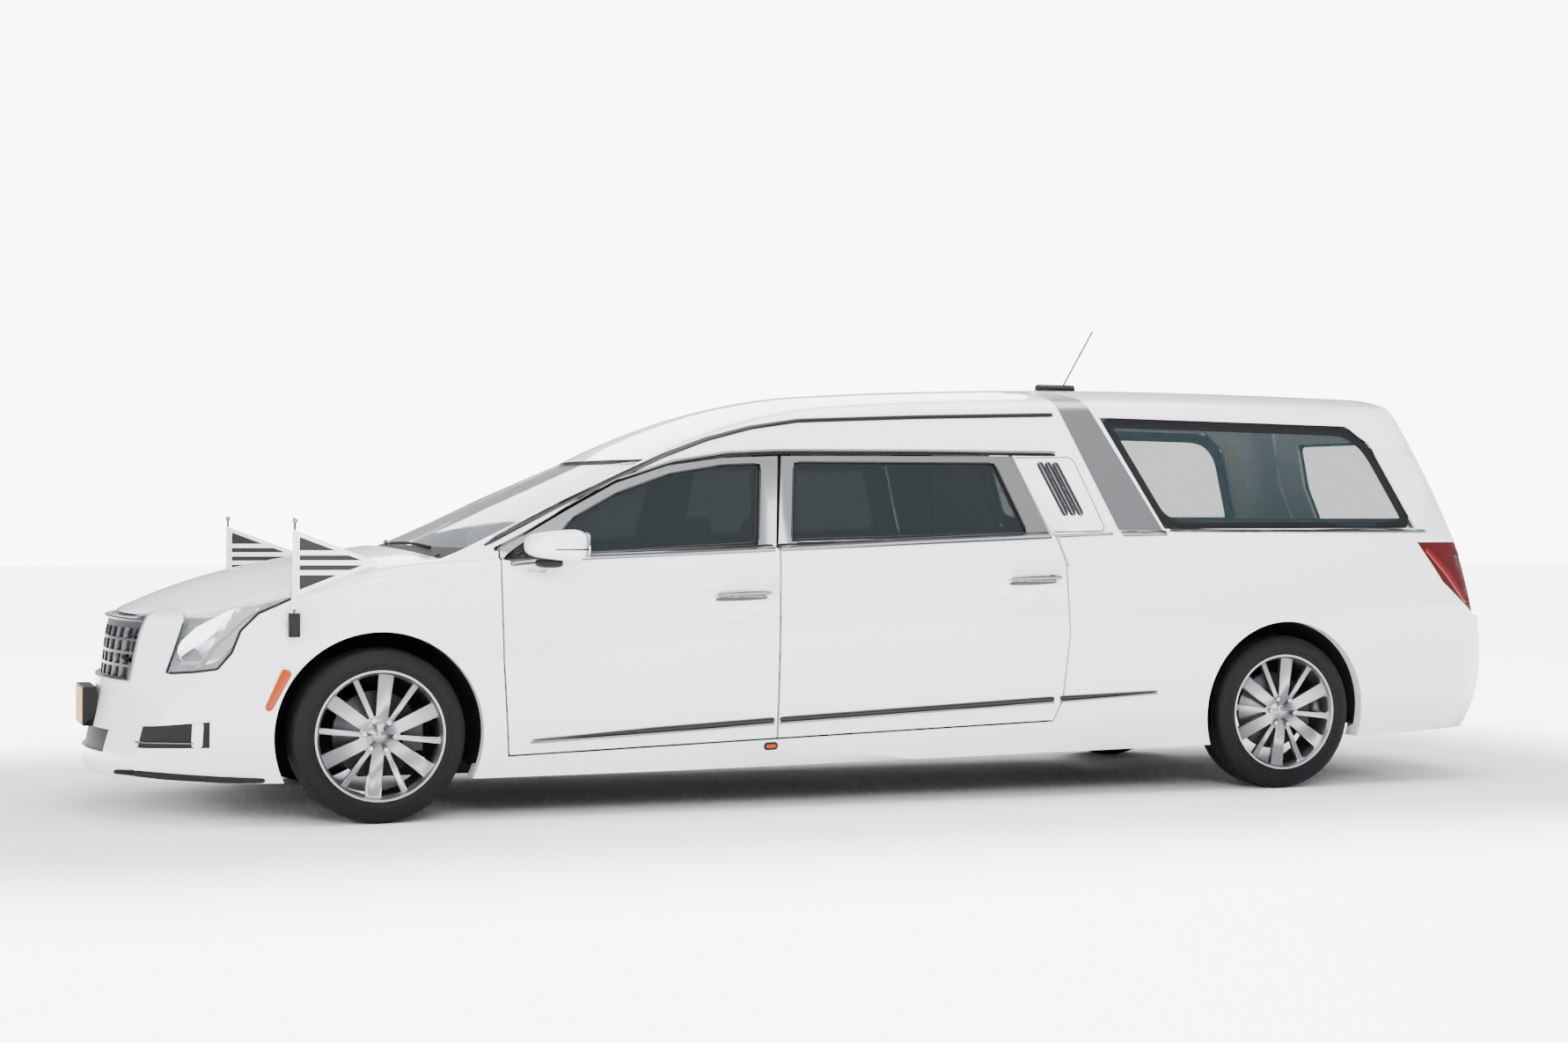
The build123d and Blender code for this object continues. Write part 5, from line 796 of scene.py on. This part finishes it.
def end_bar(name, line, widths, thickness, end, rows=5, pitch=0.02, lift=0.0005, sink=0.004):
    """Bar along a front or rear view line of (y, z), crowned like the side strips, standing out of that
    end."""
    way = end[1]
    line = np.array(line, float)
    widths = np.broadcast_to(np.array(widths, float), (len(line),))
    run = np.concatenate([[0], np.cumsum(np.hypot(*np.diff(line, axis=0).T))])
    along = np.linspace(0, run[-1], max(8, int(run[-1] / pitch)) + 1)
    middle = np.stack([np.interp(along, run, line[:, 0]), np.interp(along, run, line[:, 1])], -1)
    width = np.interp(along, run, widths)
    heading = np.gradient(middle, along, axis=0)
    heading /= np.linalg.norm(heading, axis=1)[:, None]
    across = np.stack([-heading[:, 1], heading[:, 0]], -1)
    spread = np.linspace(-1, 1, rows + 1)
    flat = middle[:, None, :] + across[:, None, :] * (width[:, None, None] / 2 * spread[None, :, None])
    skin_x = end_skin(flat[..., 0], flat[..., 1], end)
    height = thickness * np.sqrt(1 - np.abs(spread) ** 3)[None, :]
    outer = np.stack([skin_x - way * (lift + height), flat[..., 0], flat[..., 1]], -1)
    inner = np.stack([skin_x + way * sink, flat[..., 0], flat[..., 1]], -1)
    return shell_piece(name, outer, inner)


(top_y, top_z), (low_y, low_z) = GRILLE_OUTLINE
column_y, column_z = np.meshgrid(np.linspace(-1, 1, 61), np.linspace(0, 1, 25), indexing="ij")
mesh_y = column_y * (low_y + (top_y - low_y) * column_z) * 0.985
mesh_z = low_z + 0.004 + (top_z - low_z - 0.008) * column_z
mesh_x = end_skin(mesh_y, mesh_z, NOSE) + GRILLE_MESH_SETBACK
mesh_back = np.stack([mesh_x, mesh_y, mesh_z], -1)
grille_mesh = shell_piece("grille_mesh", mesh_back, mesh_back + np.array([0.002, 0, 0]))
finish_piece(grille_mesh, black_plastic, "chassis")
top_bar = end_bar("grille_top_bar", ((-top_y - 0.004, top_z + 0.003), (0, top_z + 0.006),
                                     (top_y + 0.004, top_z + 0.003)), 0.030, 0.006, NOSE)
finish_piece(top_bar, dark_gloss, "chassis")
for side_name, side in (("left", -1), ("right", 1)):
    rim_line = ((side * (top_y + 0.003), top_z + 0.010), (side * (low_y + 0.003), low_z))
    rim = end_bar("grille_rim_" + side_name, rim_line, 0.013, 0.007, NOSE)
    finish_piece(rim, chrome_satin, "chassis")
foot_line = ((-low_y, low_z - 0.002), (0, low_z - 0.004), (low_y, low_z - 0.002))
foot = end_bar("grille_rim_foot", foot_line, 0.013, 0.007, NOSE)
finish_piece(foot, chrome_satin, "chassis")


# Number plate: blank yellow plate riveted in a black moulded holder.
holder = joined_copy("front_plate", "plate_holder", black_plastic)
plate_low, plate_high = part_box("front_plate")
PLATE_THICKNESS = 0.003
for vertex in holder.data.vertices:
    if vertex.co.x < plate_low.x + 0.001:
        vertex.co.x = plate_low.x + PLATE_THICKNESS
inset = 0.008
plate_y = np.array([[-1, -1], [1, 1]]) * (plate_high.y - inset)
plate_z = np.array([[plate_low.z + inset, plate_high.z - inset]] * 2)
plate_face = np.stack([np.full((2, 2), plate_low.x + 0.0002), plate_y, plate_z], -1)
plate = shell_piece("plate_blank", plate_face, plate_face + np.array([PLATE_THICKNESS, 0, 0]))
finish_piece(plate, plate_yellow, "chassis")


# Bumper: a black rubber lip along its foot, black low panels with a bright bar, and a small
# clear running lamp behind each of them.
LIP = ((-0.985, 0.205), (-0.900, 0.196), (-0.800, 0.190), (-0.600, 0.182), (-0.440, 0.180))
LIP_WIDTHS = (0.020, 0.026, 0.028, 0.026, 0.020)
LOW_PANELS = ("lower_grille", "front_bumper")
lip = laid_band("bumper_lip_left", LIP, LIP_WIDTHS, ("front_bumper",), 0.006, pitch=0.015)
both_sides(lip, "bumper_lip", black_plastic, "chassis")
fog_bar = laid_band("fog_bar_left", ((-0.905, 0.318), (-0.700, 0.322)), 0.009, LOW_PANELS, 0.012)
both_sides(fog_bar, "fog_bar", chrome_satin, "chassis")
fog_lamp = laid_band("fog_lamp_left", ((-0.688, 0.300), (-0.684, 0.412)), 0.040, LOW_PANELS, 0.006, rows=8)
lamp_white = principled("lamp_white", (0.72, 0.74, 0.76), 0.08, coat=1.0)
both_sides(fog_lamp, "fog_lamp", lamp_white, "chassis")


# Amber marker lamps: a slanted lens ahead of each front wheel and a small oval one on the sill.
marker_line = ((-0.436, 0.452), (-0.400, 0.528), (-0.360, 0.612))
marker = laid_band("marker_lens_left", marker_line, (0.030, 0.036, 0.044),
                   ("front_bumper", "marker_lamps", "fenders"), 0.005, rows=8, pitch=0.01)
SILL_MARKER_X = 1.632
both_sides(marker, "marker_lens", amber_lens, "chassis")
for part, width, thickness, finish, slot_name in (("rim", 0.034, 0.005, black_plastic, "black_plastic"),
                                                  ("lens", 0.022, 0.009, amber_lens, "amber_lens")):
    reach = 0.032 if part == "rim" else 0.024
    lens_line = ((SILL_MARKER_X - reach, 0.262), (SILL_MARKER_X + reach, 0.263))
    lens = laid_band("sill_marker_" + part + "_left", lens_line, width, ("body_sides",), thickness,
                     pitch=0.005)
    both_sides(lens, "sill_marker_" + part, finish, "chassis")


# Headlamps: chromed bowls with round lamps inside the clear cover, a bright divider, and a black
# gasket round the lower and rear edges.
LAMP_EDGE = ((-0.735, 0.790), (-0.765, 0.690), (-0.795, 0.592), (-0.700, 0.600), (-0.618, 0.612),
             (-0.565, 0.677), (-0.532, 0.762), (-0.466, 0.830), (-0.345, 0.886))
LAMP_PANELS = ("headlamps", "front_bumper", "fenders")
gasket = laid_band("lamp_gasket_left", LAMP_EDGE, 0.010, LAMP_PANELS, 0.002, pitch=0.012)
both_sides(gasket, "lamp_gasket", black_plastic, "chassis")
bowl_finish = principled("lamp_reflector", (0.62, 0.63, 0.65), 0.12, metallic=1.0)
dark_bowl = principled("lamp_dark", (0.05, 0.05, 0.055), 0.25, metallic=0.6)
BACK_LINE = ((-0.765, 0.650), (-0.660, 0.710), (-0.560, 0.795), (-0.470, 0.850))
lamp_back = laid_band("lamp_back_left", BACK_LINE, (0.100, 0.160, 0.100, 0.030), ("headlamps",), 0.002,
                      rows=10, sink=0.0008)
for vertex in lamp_back.data.vertices:
    vertex.co.x += 0.006
    vertex.co.y += 0.012
both_sides(lamp_back, "lamp_back", bowl_finish, "chassis")
for name, line, width, thickness, finish in (
        ("divider", ((-0.690, 0.600), (-0.625, 0.700), (-0.520, 0.800), (-0.420, 0.868)), 0.012, 0.006,
         dark_bowl),
        ("bowl_low", ((-0.752, 0.650), (-0.672, 0.655)), 0.070, 0.010, chrome_satin),
        ("bowl_high", ((-0.712, 0.745), (-0.640, 0.755)), 0.060, 0.010, chrome_satin)):
    inner_part = laid_band("lamp_" + name + "_left", line, width, ("headlamps",), thickness, rows=8,
                           pitch=0.01)
    for vertex in inner_part.data.vertices:
        vertex.co.x += 0.004
        vertex.co.y += 0.011
    both_sides(inner_part, "lamp_" + name, finish, "chassis")


# Tail lamps: dark red covers with a brighter rear stripe over the light guide.
GUIDE_LINE = ((4.900, 1.086), (5.050, 0.960), (5.170, 0.830))
tail_guide = laid_band("tail_guide_left", GUIDE_LINE, (0.020, 0.030, 0.020), ("tail_lamps",), 0.002,
                       pitch=0.015)
red_guide = principled("red_guide", (0.13, 0.001, 0.002), 0.12, Specular_IOR_Level=0.3)
both_sides(tail_guide, "tail_guide", red_guide, "chassis")


# Rear end: black rubber round the loading door's window, a bright grip bar below it, a plain
# blank plate above the bumper and a slim red lamp over the window.
TAIL_WINDOW = ((0.450, 1.100), (0.450, 1.380), (0.375, 1.600), (-0.375, 1.600), (-0.450, 1.380),
               (-0.450, 1.100), (0.450, 1.100))
tail_seal = end_bar("tail_window_seal", softened(TAIL_WINDOW, 0.040), 0.026, 0.0025, TAIL, pitch=0.012,
                    sink=0.001)
finish_piece(tail_seal, black_plastic, "tail_door")
for name, line, width, thickness, finish, slot_name in (
        ("grip", ((-0.300, 1.020), (0.300, 1.020)), 0.030, 0.018, chrome_satin, "satin_trim"),
        ("plate", ((-0.260, 0.900), (0.260, 0.900)), 0.110, 0.004, plate_yellow, "yellow_plate"),
        ("plate_edge", ((-0.268, 0.900), (0.268, 0.900)), 0.126, 0.002, black_plastic, "black_plastic"),
        ("stop_lamp", ((-0.150, 1.640), (0.150, 1.640)), 0.018, 0.004, red_lens, "red_lens")):
    bar = end_bar("tail_" + name, line, width, thickness, TAIL, sink=0.001)
    finish_piece(bar, finish, "tail_door")


# Casket bay: cream cloth panels inside the pillars between the side windows and behind them,
# and a dark ledge along the foot of the large windows.
BAY_START_Y = 0.30
BAY_REACH = 0.62


def inside_patch(name, corners, thickness, columns=16, rows=12):
    """Four cornered cloth panel, given in side view as (x behind the front axle, z), on the inner face of
    the right body side, which is found by looking outwards from within the car."""
    corners = np.array(corners, float)
    u, v = np.meshgrid(np.linspace(0, 1, columns + 1), np.linspace(0, 1, rows + 1), indexing="ij")
    flat = ((1 - u) * (1 - v))[..., None] * corners[0] + (u * (1 - v))[..., None] * corners[1] \
        + (u * v)[..., None] * corners[2] + ((1 - u) * v)[..., None] * corners[3]
    x, z = flat[..., 0] + FRONT_AXLE, flat[..., 1]
    y = np.full(x.shape, np.nan)
    for place in np.ndindex(x.shape):
        start = Vector((x[place], BAY_START_Y, z[place]))
        hits = [surface_of(panel).ray_cast(start, Vector((0, 1, 0)), BAY_REACH)[0] for panel in SHELL]
        reached = [hit.y for hit in hits if hit is not None]
        if reached:
            y[place] = min(reached)
    fill_missed(y)
    outer = np.stack([x, y - 0.0005, z], -1)
    inner = np.stack([x, y - 0.0005 - thickness, z], -1)
    return shell_piece(name, inner, outer)


cream = principled("cream_cloth", (0.80, 0.72, 0.58), 0.85)
BAY_PANELS = (
    ("front_pillar", ((3.020, 1.150), (3.490, 1.150), (3.270, 1.640), (2.900, 1.560)), cream,
     "lining_fabric"),
    ("rear_pillar", ((4.900, 1.160), (4.990, 1.160), (4.780, 1.600), (4.720, 1.600)), cream,
     "lining_fabric"),
    ("ledge", ((3.540, 1.128), (4.860, 1.128), (4.850, 1.168), (3.530, 1.168)), trim_grey, "trim_grey"),
)
for name, corners, finish, slot_name in BAY_PANELS:
    panel_right = inside_patch("bay_" + name + "_right", corners, 0.004)
    panel_left = mirrored(panel_right, "bay_" + name + "_left")
    finish_piece(panel_right, finish, "chassis")
    finish_piece(panel_left, finish, "chassis")


# Mirrors: white painted shells, rounder below and outwards, on a foot at the window's corner,
# with a black slot, a bright line across and the mirror glass in the rear face.
MIRROR_CENTRE = (-1.5260, -1.0480, 1.0990)
MIRROR_HALF = (0.120, 0.100, 0.071)
mirror_glass = principled("mirror_glass", (0.45, 0.47, 0.48), 0.02, metallic=1.0)


def rounded_shell(name, centre, half, fullness, taper=0.0, columns=56, rows=40):
    """Superellipsoid |x/a|^n + |y/b|^n + |z/c|^n = 1 on a latitude and longitude grid with its long
    direction X. The height shrinks forwards by taper."""
    power = 2.0 / fullness
    latitude = np.linspace(-math.pi / 2, math.pi / 2, rows + 1)
    longitude = np.linspace(0, 2 * math.pi, columns + 1)[:-1]
    lat, lon = np.meshgrid(latitude, longitude, indexing="ij")

    def eased(value):
        return np.sign(value) * np.abs(value) ** power

    x = half[0] * eased(np.sin(lat))
    y = half[1] * eased(np.cos(lat)) * eased(np.cos(lon))
    z = half[2] * eased(np.cos(lat)) * eased(np.sin(lon)) * (1 - taper * (1 - x / half[0]) / 2)
    points = np.stack([x + centre[0], y + centre[1], z + centre[2]], -1)
    count = len(longitude)
    i, j = np.meshgrid(np.arange(rows), np.arange(count), indexing="ij")
    faces = np.stack([i * count + j, i * count + (j + 1) % count, (i + 1) * count + (j + 1) % count,
                      (i + 1) * count + j], -1).reshape(-1, 4)
    piece = grid_piece(name, points.reshape(-1, 3), faces)
    shell = bmesh.new()
    shell.from_mesh(piece.data)
    bmesh.ops.remove_doubles(shell, verts=shell.verts, dist=JOIN_DISTANCE)
    bmesh.ops.recalc_face_normals(shell, faces=shell.faces)
    shell.to_mesh(piece.data)
    shell.free()
    return piece


for side_name, side in (("left", 1), ("right", -1)):
    centre = (MIRROR_CENTRE[0], side * MIRROR_CENTRE[1], MIRROR_CENTRE[2])
    door = "front_door_" + side_name
    shell_skin = rounded_shell("mirror_shell_" + side_name, centre, MIRROR_HALF, 3.4, taper=0.35)
    finish_piece(shell_skin, white_paint, door)
    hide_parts("mirror_" + side_name)
    arm = rounded_shell("mirror_arm_" + side_name, (-1.520, side * -0.930, 1.026), (0.052, 0.058, 0.020), 3.0)
    finish_piece(arm, black_plastic, door)
    slot_line = rounded_shell("mirror_slot_" + side_name, (centre[0] + 0.018, centre[1], centre[2] - 0.016),
                              (0.100, 0.1008, 0.006), 4.0)
    finish_piece(slot_line, dark_trim_and_shade, door)
    bright_line = rounded_shell("mirror_line_" + side_name, (centre[0] + 0.030, centre[1], centre[2] - 0.016),
                                (0.082, 0.1014, 0.0025), 4.0)
    finish_piece(bright_line, chrome, door)
    pane = rounded_shell("mirror_pane_" + side_name, (centre[0] + 0.116, centre[1], centre[2]),
                         (0.0065, 0.084, 0.052), 4.0)
    finish_piece(pane, mirror_glass, door)


# Window corner sails: black triangles at the foot of the windscreen pillars.
sail = laid_band("corner_sail_left", ((0.500, 1.040), (0.560, 1.062), (0.660, 1.100)), (0.018, 0.050, 0.090),
                 ("front_door_left", "front_door_glass_left"), 0.0022, pitch=0.01, rows=8)
both_sides(sail, "corner_sail", black_plastic, "front_door_left")


# Front seats: light grey cloth over foam. Each has a crowned cushion, a full back and a head
# restraint, standing on a black base that takes the place of the hidden CAD seat.
def seat_pad(name, centre, half, lean, fullness):
    """The rounded shell above, leaned back about the Y direction through its centre."""
    piece = rounded_shell(name, (0, 0, 0), half, fullness, columns=40, rows=30)
    for vertex in piece.data.vertices:
        x, z = vertex.co.x, vertex.co.z
        vertex.co = (centre[0] + x * math.cos(lean) + z * math.sin(lean), centre[1] + vertex.co.y,
                     centre[2] - x * math.sin(lean) + z * math.cos(lean))
    return piece


for side_name, side in (("left", -1), ("right", 1)):
    for part, centre, half, lean, fill in (
            ("base", (-0.800, side * 0.390, 0.300), (0.200, 0.200, 0.090), 0.0, None),
            ("cushion", (-0.790, side * 0.390, 0.470), (0.255, 0.240, 0.085), math.radians(-4), 0.8),
            ("back", (-0.525, side * 0.390, 0.750), (0.070, 0.235, 0.300), math.radians(12), 0.8),
            ("head", (-0.445, side * 0.390, 1.125), (0.042, 0.120, 0.090), math.radians(8), 0.9)):
        cushion = seat_pad("seat_" + part + "_" + side_name, centre, half, lean, 3.2)
        if fill is None:
            finish_piece(cushion, black_plastic, "chassis")
            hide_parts("front_seats")
        else:
            finish_piece(cushion, seat_fabric, "chassis")
